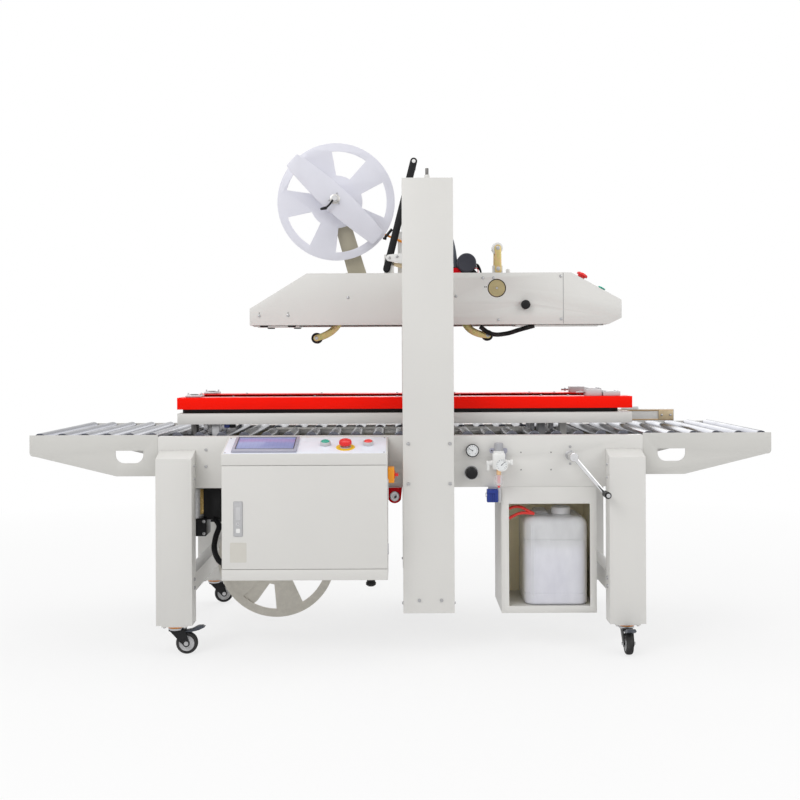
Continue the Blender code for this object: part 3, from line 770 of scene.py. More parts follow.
def jug_plastic(name, colour):
    """Blow-moulded bottle plastic: milky, uneven, rippled along its walls."""
    coat = Coat(name)
    thick = coat.noise(13, 4, 0.55, stretch=(1, 1, 0.45))
    tone = coat.between(thick, tinted(colour, 0.94), tinted(colour, 1.05))
    return coat.surface(
        Base_Color=tone, Roughness=0.36 + thick * 0.12, Alpha=0.62 + (thick - 0.5) * 0.3,
        Normal=coat.heights((coat.noise(46, 2), 0.0004), (coat.noise(420, 1), 0.00004))
    )


def lit_screen(name, colour):
    """A touch screen's plain background, brighter to the top, with its fine grid of cells."""
    coat = Coat(name)
    parts = coat.add("SeparateXYZ", {}, {"Vector": coat.place}, output="Y")
    glow = coat.span(
        parts, middle("cabinet_shell").y + PATH.y - 0.06, middle("cabinet_shell").y + PATH.y + 0.06
    )
    cells = coat.add(
        "TexBrick", {"offset": 0.0},
        {
            "Vector": coat.place, "Scale": 1.0, "Mortar Size": 0.00045, "Brick Width": 0.0115,
            "Row Height": 0.008, "Color1": (1, 1, 1), "Color2": (0.93, 0.93, 0.93),
            "Mortar": (0.72, 0.72, 0.76)
        }
    )
    tone = coat.between(glow, tinted(colour, 0.86), tinted(colour, 1.18))
    tone = coat.add(
        "Mix", {"data_type": "RGBA", "blend_type": "MULTIPLY"}, {0: 0.55, 6: tone, 7: cells}, output=2
    )
    return coat.surface(
        Base_Color=tone, Roughness=0.1 + coat.noise(30, 3) * 0.1, Emission_Color=tone, Emission_Strength=0.22
    )


def film(name, colour, roughness=0.34):
    """Printed polyester film or a bare label, very slightly uneven where it is stuck down."""
    coat = Coat(name)
    patch = coat.noise(24, 2)
    tone = coat.between(patch, tinted(colour, 0.97), tinted(colour, 1.02))
    return coat.surface(
        Base_Color=tone, Roughness=roughness + (patch - 0.5) * 0.12,
        Normal=coat.heights((coat.noise(60, 2), 0.00008))
    )


def still_water(name, colour):
    """Water in the jug, which is a little uneven."""
    coat = Coat(name)
    drift = coat.noise(6, 2)
    tone = coat.between(drift, tinted(colour, 0.96), tinted(colour, 1.04))
    return coat.surface(Base_Color=tone, Roughness=0.1 + drift * 0.06, Alpha=0.86 + (drift - 0.5) * 0.06)


def satin_sheet(name, colour, roughness=0.3):
    """Anodised or satin sheet whose fine scuffs run every way."""
    coat = Coat(name)
    scuff = coat.noise(60, 5, 0.7, distortion=0.6)
    tone = coat.between(coat.span(scuff, 0.4, 0.7), tinted(colour, 0.94), tinted(colour, 1.05))
    return coat.surface(
        Base_Color=tone, Roughness=roughness + (scuff - 0.5) * 0.24,
        Normal=coat.heights((coat.noise(330, 3), 0.00005)), Metallic=coat.span(scuff, 0.0, 1.0, 0.05, 0.18)
    )


FINISHES = {}


def mix(slot, recipe, **rows):
    """Finishes of one recipe, each (material name, settings), for one of the record's slots."""
    for finish, settings in rows.items():
        FINISHES[finish] = (recipe(*settings), slot)


def mix_finishes():
    """Every finish by name, with the record's slot that it belongs to."""
    chosen = {name: tuple(getattr(finishes(), name)) for name in SealerFinishes.__annotations__}
    fine = 0.00001
    mix("body_paint", powder_coat, body=("body_powder_coat", chosen["body"]),
        # the columns' coat is the body paint made a little lighter: painted light on the columns
        column=("column_powder_coat", tinted(chosen["body"], 1.015), 0.4),
        # the water box's inside is painted beige: painted shade of its shaded inside
        box_inside=("box_lining", (0.96, 0.88, 0.64), 0.5))
    mix("table_paint", powder_coat, table=("table_powder_coat", chosen["table"]))
    mix("red_cover", gloss_coat, cover=("cover_gloss", chosen["cover"]))
    mix("reel_paint", film, reel=("reel_satin", chosen["reel"]),
        # the retainer's coat is the reel paint made a little darker: painted shade
        retainer=("retainer_satin", tinted(chosen["reel"], 0.97)))
    # the lower reel's coat is the reel paint made darker and warmer: painted shade
    mix("reel_paint", satin_sheet, lower_reel=("lower_reel_satin", chosen["lower_reel"], 0.42))
    mix("tan_metal", powder_coat, khaki=("khaki_coat", chosen["khaki"], 0.4))
    # tan serves the guide plate, and the dancer bracket's fold, where it is painted shade
    mix("tan_metal", satin_sheet, tan=("tan_anodised", (0.6, 0.48, 0.3), 0.34))
    mix("gold_zinc", yellow_zinc, zinc=("yellow_zinc", chosen["zinc"]))
    mix("gold_zinc", satin_sheet, dial=("dial_brass", (0.45, 0.37, 0.19), 0.48))
    # olive strips on the rails' inner faces: painted shade
    mix("bare_steel", powder_coat, olive=("olive_coat", (0.3, 0.26, 0.15), 0.5))
    # the rollers' steel is dark and bluish: painted reflection of dark surroundings
    mix("roller_steel", drawn_metal, roller=("turned_tube", (0.15, 0.155, 0.185), 0.2, (3, 260, 3), 3, fine))
    mix("bare_steel", drawn_metal, steel=("bright_steel", (0.55, 0.55, 0.56), 0.3, (20, 20, 20)),
        dark_steel=("blackened_steel", (0.16, 0.155, 0.15), 0.42, (900, 6, 6)),
        plate_steel=("rolled_plate", (0.6, 0.59, 0.57), 0.36, (2, 2, 60)),
        chrome=("chrome", (0.7, 0.7, 0.71), 0.1, (4, 4, 4), 8, fine),
        brass=("brass", (0.66, 0.47, 0.19), 0.26, (20, 20, 20)),
        bronze=("bronze", (0.42, 0.3, 0.18), 0.34, (2, 60, 60)),
        screw=("zinc_screws", (0.48, 0.48, 0.49), 0.3, (60, 60, 60)))
    mix("black_plastic", moulded, black=("black_plastic", (0.01, 0.01, 0.011), 0.38, 0.00006, 0.22),
        cable=("cable_sheath", (0.009, 0.009, 0.01), 0.45, 0.00004, 0.2))
    mix("black_arm", moulded, black_arm=("black_arm_coat", (0.008, 0.008, 0.009), 0.4, 0.00006, 0.22))
    mix("motor_grey", moulded, grey=("grey_plastic", (0.26, 0.26, 0.27)),
        motor=("motor_enamel", (0.036, 0.037, 0.05), 0.42, 0.00006, 0.3),
        slate=("slate_plastic", (0.06, 0.068, 0.085), 0.4, 0.00006, 0.3))
    mix("motor_grey", drawn_metal, silver=("cast_silver", (0.52, 0.52, 0.53), 0.4, (40, 40, 40)))
    mix("red_plastic", moulded, red=("red_plastic", chosen["signal_red"], 0.26, 0.00003),
        pale_red=("lamp_red", (0.85, 0.09, 0.08), 0.24, 0.00003))
    mix("red_plastic", gloss_coat, dark_red=("dark_red_coat", (0.6, 0.004, 0.01)),
        signal_lug=("lug_coat", (0.66, 0.004, 0.01)))
    mix("green_plastic", moulded, pale_green=("lamp_green", chosen["start_green"], 0.24, 0.00003))
    mix(
        "service_unit", moulded, pale_grey=("pale_grey_plastic", (0.55, 0.55, 0.56)),
        white=("white_plastic", (0.78, 0.78, 0.77), 0.34), peach=("peach_plastic", (0.86, 0.55, 0.3), 0.3),
        amber=("amber_plastic", (0.95, 0.34, 0.008), 0.3), cap_grey=("cap_grey_plastic", (0.4, 0.4, 0.42)),
        yellow=("yellow_plastic", (0.86, 0.58, 0.02), 0.32),
        orange=("orange_plastic", (0.9, 0.3, 0.015), 0.3), blue=("blue_plastic", (0.004, 0.028, 0.24), 0.3),
        red_tube=("red_tube", (0.8, 0.03, 0.02), 0.28, 0.00002),
        bezel=("bezel_plastic", (0.36, 0.36, 0.44), 0.3, 0.00003)
    )
    mix("service_unit", film, enamel=("dial_enamel", (0.85, 0.86, 0.86), 0.25))
    mix("service_unit", see_through, lens=("clear_lens", (0.85, 0.88, 0.9), 0.1, 0.04),
        bowl=("clear_bowl", (0.8, 0.82, 0.84), 0.48, 0.08))
    mix("wheel_rubber", rubber, tyre=("tyre_rubber", (0.014, 0.014, 0.015)))
    mix("belt_rubber", rubber, rubber=("black_rubber", (0.01, 0.01, 0.011)))
    mix("belt_rubber", belting, belt=("belting",))
    mix("jug_plastic", jug_plastic, jug=("jug_plastic", (0.94, 0.95, 1.0)))
    mix("jug_plastic", film, jug_cap=("jug_cap_plastic", (0.82, 0.82, 0.84)))
    mix(None, film, overlay=("panel_film", (0.86, 0.89, 0.97)), label=("bare_label", (0.62, 0.6, 0.55), 0.42),
        # the marks serve as print on dials and gauges, and as painted shade in slits, holes and round the
        # screen
        mark=("printed_marks", (0.03, 0.03, 0.035), 0.45))
    mix(None, lit_screen, screen=("lit_screen", chosen["screen"]))
    mix(None, still_water, water=("water", chosen["liquid"]))


# Frame: rails, tables, legs and columns

def bed_frame():
    """Folded rails, roller tables, leg frames and columns, with their fixings."""
    fold, edge = details().fold, details().edge
    for nodes, finish, rounding in (
        (("rail_front", "rail_rear"), "body", edge), (("infeed_table", "outfeed_table"), "table", edge),
        (("infeed_legs", "outfeed_legs"), "body", fold), (("column_front", "column_rear"), "column", fold)
    ):
        for node in nodes:
            finish_node(node, "frame", finish, rounding)
    rail_fixings()
    rail_shade_sheets()
    leg_fixings()
    column_fixings()


def rail_fixings():
    """Screws and rivet nuts in the rails, and the splice plates with their bolts."""
    reach = -box("rail_front")[0].y
    for place, side in SIDES:
        heads = [(-0.593, side * reach, z) for z in (0.611, 0.56)]
        fit(screws(f"rail_screws_{place}", heads, (0, side, 0)), "frame", "screw")
        # rivet nuts left open for other widths
        nuts = [
            ring("rivet_nut", (x, side * reach, z), (0, side, 0), 0.0008, 0.0022, 0.0005, 12, 0.0001)
            for x in (0.3675, 0.459) for z in (0.599, 0.546)
        ]
        fit(merged(f"rivet_nuts_{place}", nuts), "frame", "dark_steel")
    # splice plates that carry the tables, inside the rails at each end
    for way, end in WAYS:
        for place, side in SIDES:
            name, inner = f"{way}_splice_{place}", side * (reach - 0.0042)
            plate = around(
                "splice", (end * 0.742, inner - side * 0.0022, 0.588), (0.078, 0.004, 0.084), 0.001
            )
            fit(plate, "frame", "plate_steel").name = name
            heads = spread((end * 0.742, inner - side * 0.0042, 0.588), dx=0.026, dz=0.028)
            fit(bolts(f"{name}_bolts", heads, (0, -side, 0), 0.0055), "frame", "screw")


def rail_shade_sheets():
    """Olive strips on the rails' inner faces behind the rollers' ends, bored for the width screw: painted
    shade of the rails' shaded insides.
    """
    outline = [(-0.733, 0.5), (0.733, 0.5), (0.733, 0.6315), (-0.733, 0.6315)]
    for place, side in SIDES:
        bore = circle(WIDTH_SCREW, 0.0105, 20)
        strip = cut_plate(
            f"rail_liner_{place}", "XZ", (side * 0.2664, side * 0.2692), outline, [bore], 0.0005
        )
        fit(strip, "frame", "olive")


def leg_fixings():
    """Bolts over each caster, through each leg into its rail, and at the brace's end plates."""
    for way, end in WAYS:
        low, high = box(f"{way}_legs")
        inner = high.x if end < 0 else low.x
        for place, side in SIDES:
            corners = spread((end * 0.679, side * 0.344, low.z), dx=0.031, dy=0.023)
            fit(bolts(f"{way}_caster_bolts_{place}", corners, DOWN, 0.0042), "frame", "screw")
        for kind, make, heights, radius in (
            ("leg_screws", screws, (0.525, 0.565), 0.0042), ("brace_bolts", bolts, (0.196, 0.222), 0.0048)
        ):
            heads = [(inner, y, z) for y in (-0.338, 0.338) for z in heights]
            fit(make(f"{way}_{kind}", heads, (-end, 0, 0), radius), "frame", "screw")


def column_fixings():
    """Screws and bolts in the columns, and what stands on their caps."""
    low, high = box("column_front")
    heads = [(x, low.y, z) for x in (low.x + 0.0165, high.x - 0.012) for z in (0.6326, 0.5133)]
    heads += [(x, low.y, low.z + 0.0386) for x in (low.x + 0.0476, high.x - 0.0392)]
    fit(screws("column_screws", heads, FRONT, 0.0052), "frame", "screw")
    for place, side in SIDES:
        y = -side * (low.y + 0.02)
        flanks = [((low.x, y, low.z + 0.027), LEFT), ((high.x, y, low.z + 0.027), RIGHT)]
        fit(set_of(f"column_side_bolts_{place}", bolt_master(0.0042), flanks), "frame", "screw")
        # the lifting screw's end and two cover screws on the column's cap
        x, y, cap = 0.0835, side * 0.3475, high.z - 0.014
        stud = drum("stud", (x, y, cap + 0.0005), (x, y, cap + 0.034), 0.005, 0.0008)
        washer = ring("cap_washer", (x, y, cap), UP, 0.0083, 0.0185, 0.0012)
        fit(merged(f"column_stud_{place}", [stud, washer]), "frame", "dark_steel")
        heads = bolts(f"column_cap_bolts_{place}", [(0.0543, y, cap), (0.11, y, cap)], UP, 0.0036)
        fit(heads, "frame", "screw")


# Rollers

def roller_tube(name, x, y0, y1, z, radius):
    """A tube on its hexagon axle, with a recessed bearing at each end."""
    wall, axle, bearing = details().roller_wall, 0.0052, 0.0022
    length = y1 - y0
    half = [
        (axle, 0.0), (axle, bearing * 2), (axle * 1.9, bearing * 2), (axle * 2.0, bearing * 1.6),
        (radius - wall, bearing * 1.6), (radius - wall, 0.0012), (radius - wall * 0.5, 0.0006),
        (radius, 0.0012)
    ]
    return turned(name, (x, y0, z), BACK, both_ends(half, length), 26)


def rollers():
    """Tubes of three lengths, each copied to every pitch of its bank, and the strips between."""
    pitch, radius, height = 0.069, 0.019, 0.643
    outer = range(11, 17)
    for name, numbers, spans in (
        ("infeed_rollers", [-n for n in outer], ((-0.297, 0.297),)),
        ("outfeed_rollers", outer, ((-0.297, 0.297),)),
        ("bed_rollers", [n for n in range(-10, 11) if abs(n) > 6], ((-0.261, 0.261),)),
        ("bed_short_rollers", range(-6, 7), ((-0.262, -0.0625), (0.0625, 0.262)))
    ):
        made = []
        for y0, y1 in spans:
            first = roller_tube("tube", numbers[0] * pitch, y0, y1, height, radius)
            made += [first] + [copied(first, ((n - numbers[0]) * pitch, 0, 0)) for n in numbers[1:]]
        fit(merged(f"tubes_{name}", made), "frame", "roller", () if name == "bed_short_rollers" else name)
    finish_node("lower_tape_unit", "frame", "plate_steel", details().edge)
    rows = ((-1.118, -0.745, 0.301), (0.745, 1.118, 0.301), (-0.735, 0.735, 0.265), (-0.44, 0.44, 0.0585))
    strips = [
        block("strip", (x0, side * y - 0.003, 0.634), (x1, side * y + 0.003, 0.65), 0.0006)
        for x0, x1, y in rows for side in (-1, 1)
    ]
    fit(merged("axle_strips", strips), "frame", "plate_steel")
    nuts = []
    for number in [n for n in range(-16, 17) if abs(n) > 6]:
        nuts += both_faces(number * pitch, height - 0.001, 0.304 if abs(number) > 10 else 0.268)
    fit(set_of("axle_bolts", bolt_master(0.0048), nuts), "frame", "screw")


# Side drives

def side_drives():
    """Covers, belts on pulleys, the beams under them, guides, tensioners and motors."""
    for place, side in SIDES:
        body = f"side_drive_{place}"
        finish_node(f"belt_beam_{place}", body, "body", details().edge)
        finish_node(f"belt_cover_{place}", body, "cover", 0.0012, 3)
        top = box(f"belt_cover_{place}")[1].z
        heads = [(x, side * 0.156, top) for x in (-0.532, -0.272, -0.01, 0.189, 0.449, 0.535)]
        fit(bolts(f"cover_bolts_{place}", heads, UP, 0.0038), body, "screw")
        for make in (drive_belt, drive_ends, drive_slides, drive_motor):
            make(place, side, body)
    guide_end()


def drive_belt(place, side, body):
    """The belt on its two pulleys, and the strip and rail that back it where it presses on the carton."""
    centre, reach, radius, thick = side * 0.15, 0.6555, 0.0343, 0.004
    z0, z1 = (corner.z for corner in box(f"drive_belt_{place}"))

    def loop(r):
        return arc((reach, centre), r, -90, 90, 28) + arc((-reach, centre), r, 90, 270, 28)

    belt = cut_plate("belt", "XY", (z0, z1), loop(radius + thick), [loop(radius)], 0.0005)
    fit(belt, body, "belt", f"drive_belt_{place}").name = f"belt_{place}"
    for name, finish, half, near, far, foot, top, rounding in (
        ("belt_backing", "white", 0.6, 0.117, 0.125, 0.7185, 0.74, 0.0008),
        ("backing_rail", "plate_steel", 0.61, 0.125, 0.132, 0.717, 0.742, 0.0006)
    ):
        near, far = sorted((side * near, side * far))
        fit(block(f"{name}_{place}", (-half, near, foot), (half, far, top), rounding), body, finish)
    for kind, end in (("drive", -1), ("idler", 1)):
        pulley = turned(
            "pulley", (end * reach, centre, z0 + 0.0004), UP,
            [(0.006, 0), (0.0325, 0), (0.0336, 0.003), (0.0339, 0.02), (0.0336, 0.037), (0.0325, 0.0395),
             (0.012, 0.0395), (0.012, 0.036), (0.0065, 0.036), (0.0062, 0.0372)], 48, 0.0003,
        )
        name = f"{kind}_pulley_{place}"
        fit(pulley, name, "steel", name).name = f"turned_{name}"


def drive_ends(place, side, body):
    """Bearing plates over the drive pulley, and the tensioner over the idler."""
    x, y, top = -0.653, side * 0.164, 0.7664
    plates = [around("bearing_plate", (x, y, top + 0.0035), (0.05, 0.058, 0.007), 0.001)]
    plates += [
        drum("post", (u, y, top + 0.006), (u, y, top + 0.0145), 0.0024) for u in (x - 0.021, x + 0.021)
    ]
    fit(merged(f"drive_bearing_plates_{place}", plates), body, "silver")
    heads = spread((x, y, top + 0.007), dx=0.017, dy=0.021)
    fit(screws(f"bearing_screws_{place}", heads, UP, 0.0036), body, "screw")
    blocks = [
        around("tension_block", (0.613, y, top + 0.01), (0.05, 0.046, 0.02), 0.0012),
        around("tension_block", (0.668, y, top + 0.007), (0.054, 0.06, 0.014), 0.0012)
    ]
    fit(merged(f"tension_blocks_{place}", blocks), body, "pale_grey")
    bolt = drum("tension_bolt", (0.586, y, top + 0.01), (0.56, y, top + 0.01), 0.0034)
    nut = turned("tension_nut", (0.576, y, top + 0.01), LEFT, [(0.0062, 0), (0.0062, 0.005)], 6, 0.0004)
    heads = screws("heads", spread((0.668, y, top + 0.014), dx=0.019, dy=0.021), UP, 0.0036)
    fit(merged(f"tension_bolt_{place}", [bolt, nut, heads]), body, "screw")
    cap = turned(
        f"drive_bearing_cap_{place}", (x, y, top + 0.0068), UP,
        [(0.013, 0), (0.013, 0.002), (0.011, 0.003), (0.006, 0.003), (0.005, 0.0012)], 32, 0.0003
    )
    fit(cap, body, "dark_steel")


def drive_slides(place, side, body):
    """Cross rods fixed to the bed, and the bushes that hang from the beam and slide along them."""
    y, z = side * 0.15, 0.608
    for name, x, finish in (("infeed", -0.5865, "silver"), ("outfeed", 0.4485, "grey")):
        hanger = around("hanger", (x, y, 0.638), (0.024, 0.042, 0.0874), 0.0015)
        bore = drum("bore", (x, y - 0.04, z), (x, y + 0.04, z), 0.0093, 0)
        fit(carved(hanger, bore), body, finish).name = f"slide_bush_{name}_{place}"
        pads = [
            around("pad", spot, (0.013, 0.026, 0.019), 0.0008)
            for spot in spread((x, y + side * 0.018, 0.6722), dx=0.03)
        ]
        fit(merged(f"slide_pads_{name}_{place}", pads), body, finish)
        if place == "front":
            reach = -box("rail_front")[0].y - 0.0045
            fit(drum(f"slide_rod_{name}", (x, -reach, z), (x, reach, z), 0.009), "frame", "chrome")
    for x, finish in ((-0.548, "blue"), (-0.53, "black")):
        socket = around("hose_socket", (x, y + side * 0.03, 0.676), (0.017, 0.017, 0.012), 0.0012)
        fit(socket, body, finish).name = f"hose_socket_{finish}_{place}"


def guide_end():
    """The adjustable guide that reaches out over the outfeed table, on the rear drive."""
    body, y = "side_drive_rear", 0.115
    lips = [around("lip", (0.822, y - 0.0008, z), (0.232, 0.0016, 0.005), 0.0004) for z in (0.6725, 0.7045)]
    fit(merged("guide_lips", lips), body, "bronze")
    fit(around("guide_shoe", (0.79, y + 0.008, 0.7135), (0.056, 0.02, 0.0095), 0.001), body, "white")
    fit(around("guide_plate", (0.912, y - 0.003, 0.689), (0.05, 0.004, 0.03), 0.001), body, "tan")
    fit(screws("guide_screws", spread((0.912, y - 0.005, 0.689), dx=0.015), FRONT, 0.0042), body, "screw")


def drive_motor(place, side, body):
    """A silver gear motor under the beam, on the gearbox that stands on its fan's black hood."""
    node, x, y = f"drive_motor_{place}", -0.6555, side * 0.15
    neck = drum("neck", (x, y, 0.479), (x, y, 0.712), 0.0124)
    fit(neck, body, "dark_steel", node).name = f"motor_neck_{place}"
    can = turned(
        f"motor_can_{place}", (x, y, 0.4925), DOWN,
        [(0.019, 0), (0.026, 0.006), (0.026, 0.012), (0.0395, 0.013), (0.04, 0.02), (0.04, 0.109)], 48,
        0.0006
    )
    fit(can, body, "silver")
    fit(around(f"motor_hood_{place}", (x, y, 0.3555), (0.084, 0.084, 0.056), 0.005, 3), body, "black")
    grooves = [
        ring("groove", (x, y, 0.39 + n * 0.018), UP, 0.0398, 0.0404, 0.003, 48, 0.0003) for n in range(5)
    ]
    fit(merged(f"motor_grooves_{place}", grooves), body, "steel")
    spot = (x + 0.0262, y - 0.0303, 0.436)
    strip = around(f"rating_strip_{place}", spot, (0.012, 0.0012, 0.08), 0.0003)
    fit(turn(strip, 41, (0, 0, 1), spot), body, "brass")
    fit(around(f"terminal_box_{place}", (x + 0.0595, y, 0.434), (0.071, 0.052, 0.112), 0.0025), body, "black")
    heads = spread((x, y + side * 0.042, 0.3555), dx=0.034, dz=0.019)
    fit(bolts(f"motor_bolts_{place}", heads, (0, side, 0), 0.0036), body, "screw")


# Sealing head

def head():
    """The folded shell on its carriages, its fixings, and what shows through its openings."""
    finish_node("head_shell", "head", "body", details().edge * 1.6)
    finish_node("upper_tape_unit", "head", "plate_steel", details().edge)
    head_fixings()
    counter_dial()
    head_controls()
    head_underside()
    feed_motor()
    tape_guides()


def head_fixings():
    """Screws and key slits, feet under the nose, the outfeed nose's joint, and the folded lips."""
    reach = 0.12
    spots = (
        (-0.453, 1.0258), (-0.36, 1.0268), (-0.167, 1.0838), (0.1815, 1.0864), (0.3188, 1.01), (0.5184, 1.15),
        (0.52, 1.0116), (0.2682, 1.1451), (0.3024, 1.1451)
    )
    for place, side in SIDES:
        heads = [(x, side * reach, z) for x, z in spots]
        fit(screws(f"head_screws_{place}", heads, (0, side, 0)), "head", "screw")
    # dark slits above two screws: painted shade inside the slits
    slits = [around("slit", (x, -reach, z + 0.0085), (0.0016, 0.0008, 0.006), 0.0002) for x, z in spots[:2]]
    fit(merged("key_slits", slits), "head", "mark")
    feet = [
        turned("foot", foot, DOWN, [(0.013, 0), (0.013, 0.004), (0.0115, 0.0056)], 28, 0.0004)
        for foot in spread((-0.395, 0, 0.995), dx=0.045, dy=0.1)
    ]
    fit(merged("nose_feet", feet), "head", "rubber")
    for place, side in SIDES:
        joint = around("joint", (0.527, side * 0.1202, 1.0785), (0.0014, 0.0008, 0.164), 0.0002)
        fit(joint, "head", "grey").name = f"nose_joint_{place}"
        near, far = sorted((side * 0.1165, side * 0.1035))
        lip = block(f"lower_lip_{place}", (-0.47, near, 0.9952), (0.664, far, 0.9975), 0.0007)
        fit(lip, "head", "body")
    fit(around("nose_joint_top", (0.53, 0, 1.16225), (0.0014, 0.236, 0.0009), 0.0002), "head", "mark")


def counter_dial():
    """The tape counter's brass wheel in its round window, with its hub bolt, two marks beside it, and a dark
    plate behind the window that is painted shade.
    """
    x, z = 0.313, 1.112
    wheel = turned(
        "dial_wheel", (x, -0.113, z), FRONT,
        [(0.0268, 0), (0.0268, 0.006), (0.0262, 0.0066), (0.0235, 0.0066), (0.023, 0.006), (0.01, 0.006),
         (0.0095, 0.0067), (0.0052, 0.0067), (0.0048, 0.0062)], 56,
    )
    fit(wheel, "head", "dial")
    bolt = turned("dial_bolt", (x, -0.118, z), FRONT, [(0.0042, 0), (0.0042, 0.0022), (0.0034, 0.003)], 6)
    fit(bolt, "head", "screw")
    marks = [around("mark", (0.274 + dx, -0.1202, 1.116), (0.0026, 0.0006, 0.0036), 0) for dx in (0, 0.005)]
    fit(merged("dial_marks", marks), "head", "mark")
    # a dark plate behind the dial's window: painted shade inside the head
    window_shade = around("tape_unit_side", (x, -0.07, z), (0.09, 0.003, 0.08), 0.0008)
    fit(window_shade, "head", "dark_steel")


def head_controls():
    """The black knob on the front, and the stop and start buttons on the outfeed slope."""
    x, z = 0.404, 1.058
    knob = turned(
        "head_knob_cap", (x, -0.1205, z), FRONT,
        [(0.009, 0), (0.0095, 0.003), (0.0138, 0.006), (0.015, 0.0095), (0.015, 0.018), (0.0138, 0.0222),
         (0.01, 0.024), (0.003, 0.024)], 40, 0.0003,
    )
    fit(knob, "head_knob", "black", "head_knob")
    fit(ring("head_knob_washer", (x, -0.1199, z), FRONT, 0.008, 0.0125, 0.0009), "head", "screw")
    slope = Vector((0.4815, 0, 0.8764)).normalized()
    for body, place, cap, finish, low, high in (
        ("head_stop_button", Vector((0.588, -0.075, 1.1428)), 0.019, "red", 0.006, 0.022),
        ("head_start_button", Vector((0.655, -0.075, 1.106)), 0.0135, "pale_green", 0.005, 0.011)
    ):
        depth = high - low
        dome = turned(
            f"{body}_cap", place + slope * low, slope,
            [(cap * 0.62, 0), (cap * 0.66, depth * 0.3), (cap * 0.98, depth * 0.42), (cap, depth * 0.62),
             (cap * 0.9, depth * 0.88), (cap * 0.55, depth)], 40, 0.0003,
        )
        fit(dome, body, finish, body)
        bezel = ring(
            f"{body}_bezel", place + slope * 0.0002, slope, cap * 0.74, cap * 1.12, 0.0028, 40, 0.0006
        )
        fit(bezel, "head", "silver")


def head_underside():
    """The wiping strip and the carton runners."""
    wiper = hose("wiper_strip", [
        (0.262, -0.06, 0.99), (0.3, -0.062, 0.966), (0.345, -0.062, 0.966), (0.395, -0.06, 0.98),
        (0.44, -0.056, 0.992),
    ], 0.0076)
    fit(wiper, "head", "rubber")
    for way, x0, x1 in (("infeed", -0.48, -0.33), ("outfeed", 0.38, 0.668)):
        runners = [
            block("runner", (x0, y - 0.006, 0.992), (x1, y + 0.006, 0.9975), 0.0012) for y in (-0.052, 0.052)
        ]
        fit(merged(f"carton_runner_{way}", runners), "head", "plate_steel")


def feed_motor():
    """The tape feed's motor on its cradle behind the column, with its duct and cables."""
    x, z, deck = 0.2203, 1.2, 1.1622
    motor = turned(
        "feed_motor", (x, 0.06, z), FRONT,
        [(0.03, 0), (0.0318, 0.003), (0.0318, 0.112), (0.0306, 0.1145), (0.025, 0.115), (0.0246, 0.1142)], 56,
        0.0004
    )
    fit(motor, "head", "motor")
    fins = [
        ring("fin", (x, -0.004 + n * 0.009, z), BACK, 0.0314, 0.0326, 0.004, 44, 0.0003) for n in range(5)
    ]
    fit(merged("feed_motor_fins", fins), "head", "dark_steel")
    outline = [(0.176, deck), (0.264, deck), (0.238, 1.189), (0.176, 1.189)]
    cradle = cut_plate("motor_cradle", "XZ", (-0.03, 0.05), outline, (), 0.0008)
    fit(carved(cradle, drum("bore", (x, -0.06, z), (x, 0.08, z), 0.032, 0)), "head", "black")
    outline = [(0.1745, deck), (0.208, deck), (0.196, 1.179), (0.188, 1.185), (0.1745, 1.183)]
    fit(cut_plate("red_bracket", "XZ", (-0.042, -0.038), outline, (), 0.0006), "head", "dark_red")
    duct = [(0.166, -0.02, 1.3), (0.179, -0.02, 1.25), (0.1845, -0.02, 1.2), (0.185, -0.02, 1.1625)]
    fit(hose("cable_duct", duct, 0.0068), "head", "slate")
    cables = [
        hose("cable", [
            (0.248, 0.01, 1.185 + lift), (0.258, 0.0, 1.187 + lift), (0.267, -0.01, 1.178 + lift * 0.5),
            (0.27, -0.018 - lift, 1.1625),
        ], 0.0026)
        for lift in (0.0, 0.006, 0.012)
    ]
    fit(merged("motor_cables", cables), "head", "cable")
    line = hose(
        "motor_line", [(0.243, -0.03, 1.183), (0.256, -0.034, 1.182), (0.258, -0.036, 1.1625)], 0.0014
    )
    fit(line, "head", "dark_red")
    stand = around("measuring_stop", (0.356, -0.05, 1.1705), (0.013, 0.012, 0.0165), 0.001)
    fit(stand, "head", "plate_steel")


def tape_guides():
    """Left of the column: the dancer's bracket, the tape's guide on its board and the cutter's rod."""
    nose = arc((-0.033, 1.211), 0.011, 100, 262, 12)
    for name, finish, span, outline in (
        ("dancer_bracket", "white", (-0.12, -0.117), [(0.03, 1.19), (0.03, 1.228)] + nose),
        # the bracket's fold is tan: painted shade on a folded side of the white bracket
        (
            "dancer_fold", "tan", (-0.108, -0.093),
            [(-0.025, 1.1985), (0.03, 1.188), (0.03, 1.172), (-0.025, 1.188)]
        ),
        (
            "tape_guide", "orange", (-0.085, -0.0817),
            [(-0.049, 1.287), (-0.046, 1.293), (0.03, 1.261), (0.03, 1.253), (-0.044, 1.285)]
        )
    ):
        fit(cut_plate(name, "XZ", span, outline, (), 0.0006), "head", finish)
    fit(block("guide_board", (-0.006, -0.0815, 1.1622), (0.09, -0.0785, 1.3), 0.0006), "head", "white")
    heads = [(-0.033, -0.12, 1.211), (-0.008, -0.12, 1.215)]
    fit(screws("dancer_bracket_screws", heads, FRONT, 0.0046), "head", "screw")
    rod = drum("cutter_rod", (-0.047, -0.09, 1.28), (-0.024, -0.09, 1.307), 0.0046)
    tip = drum("tip", (-0.049, -0.09, 1.273), (-0.047, -0.09, 1.28), 0.0062)
    fit(merged("cutter_rod", [rod, tip]), "head", "black")


# Swinging arms under and over the head

def sealing_arms():
    """The two roller arms that press the tape down, the dancer and the measuring arm."""
    roller_arm("infeed_roller_arm", (-0.2, 1.012), (-0.228, 0.977), (-0.276, 0.955))
    roller_arm("outfeed_roller_arm", (0.215, 1.012), (0.24, 0.978), (0.291, 0.962))
    dancer()
    measuring_arm()


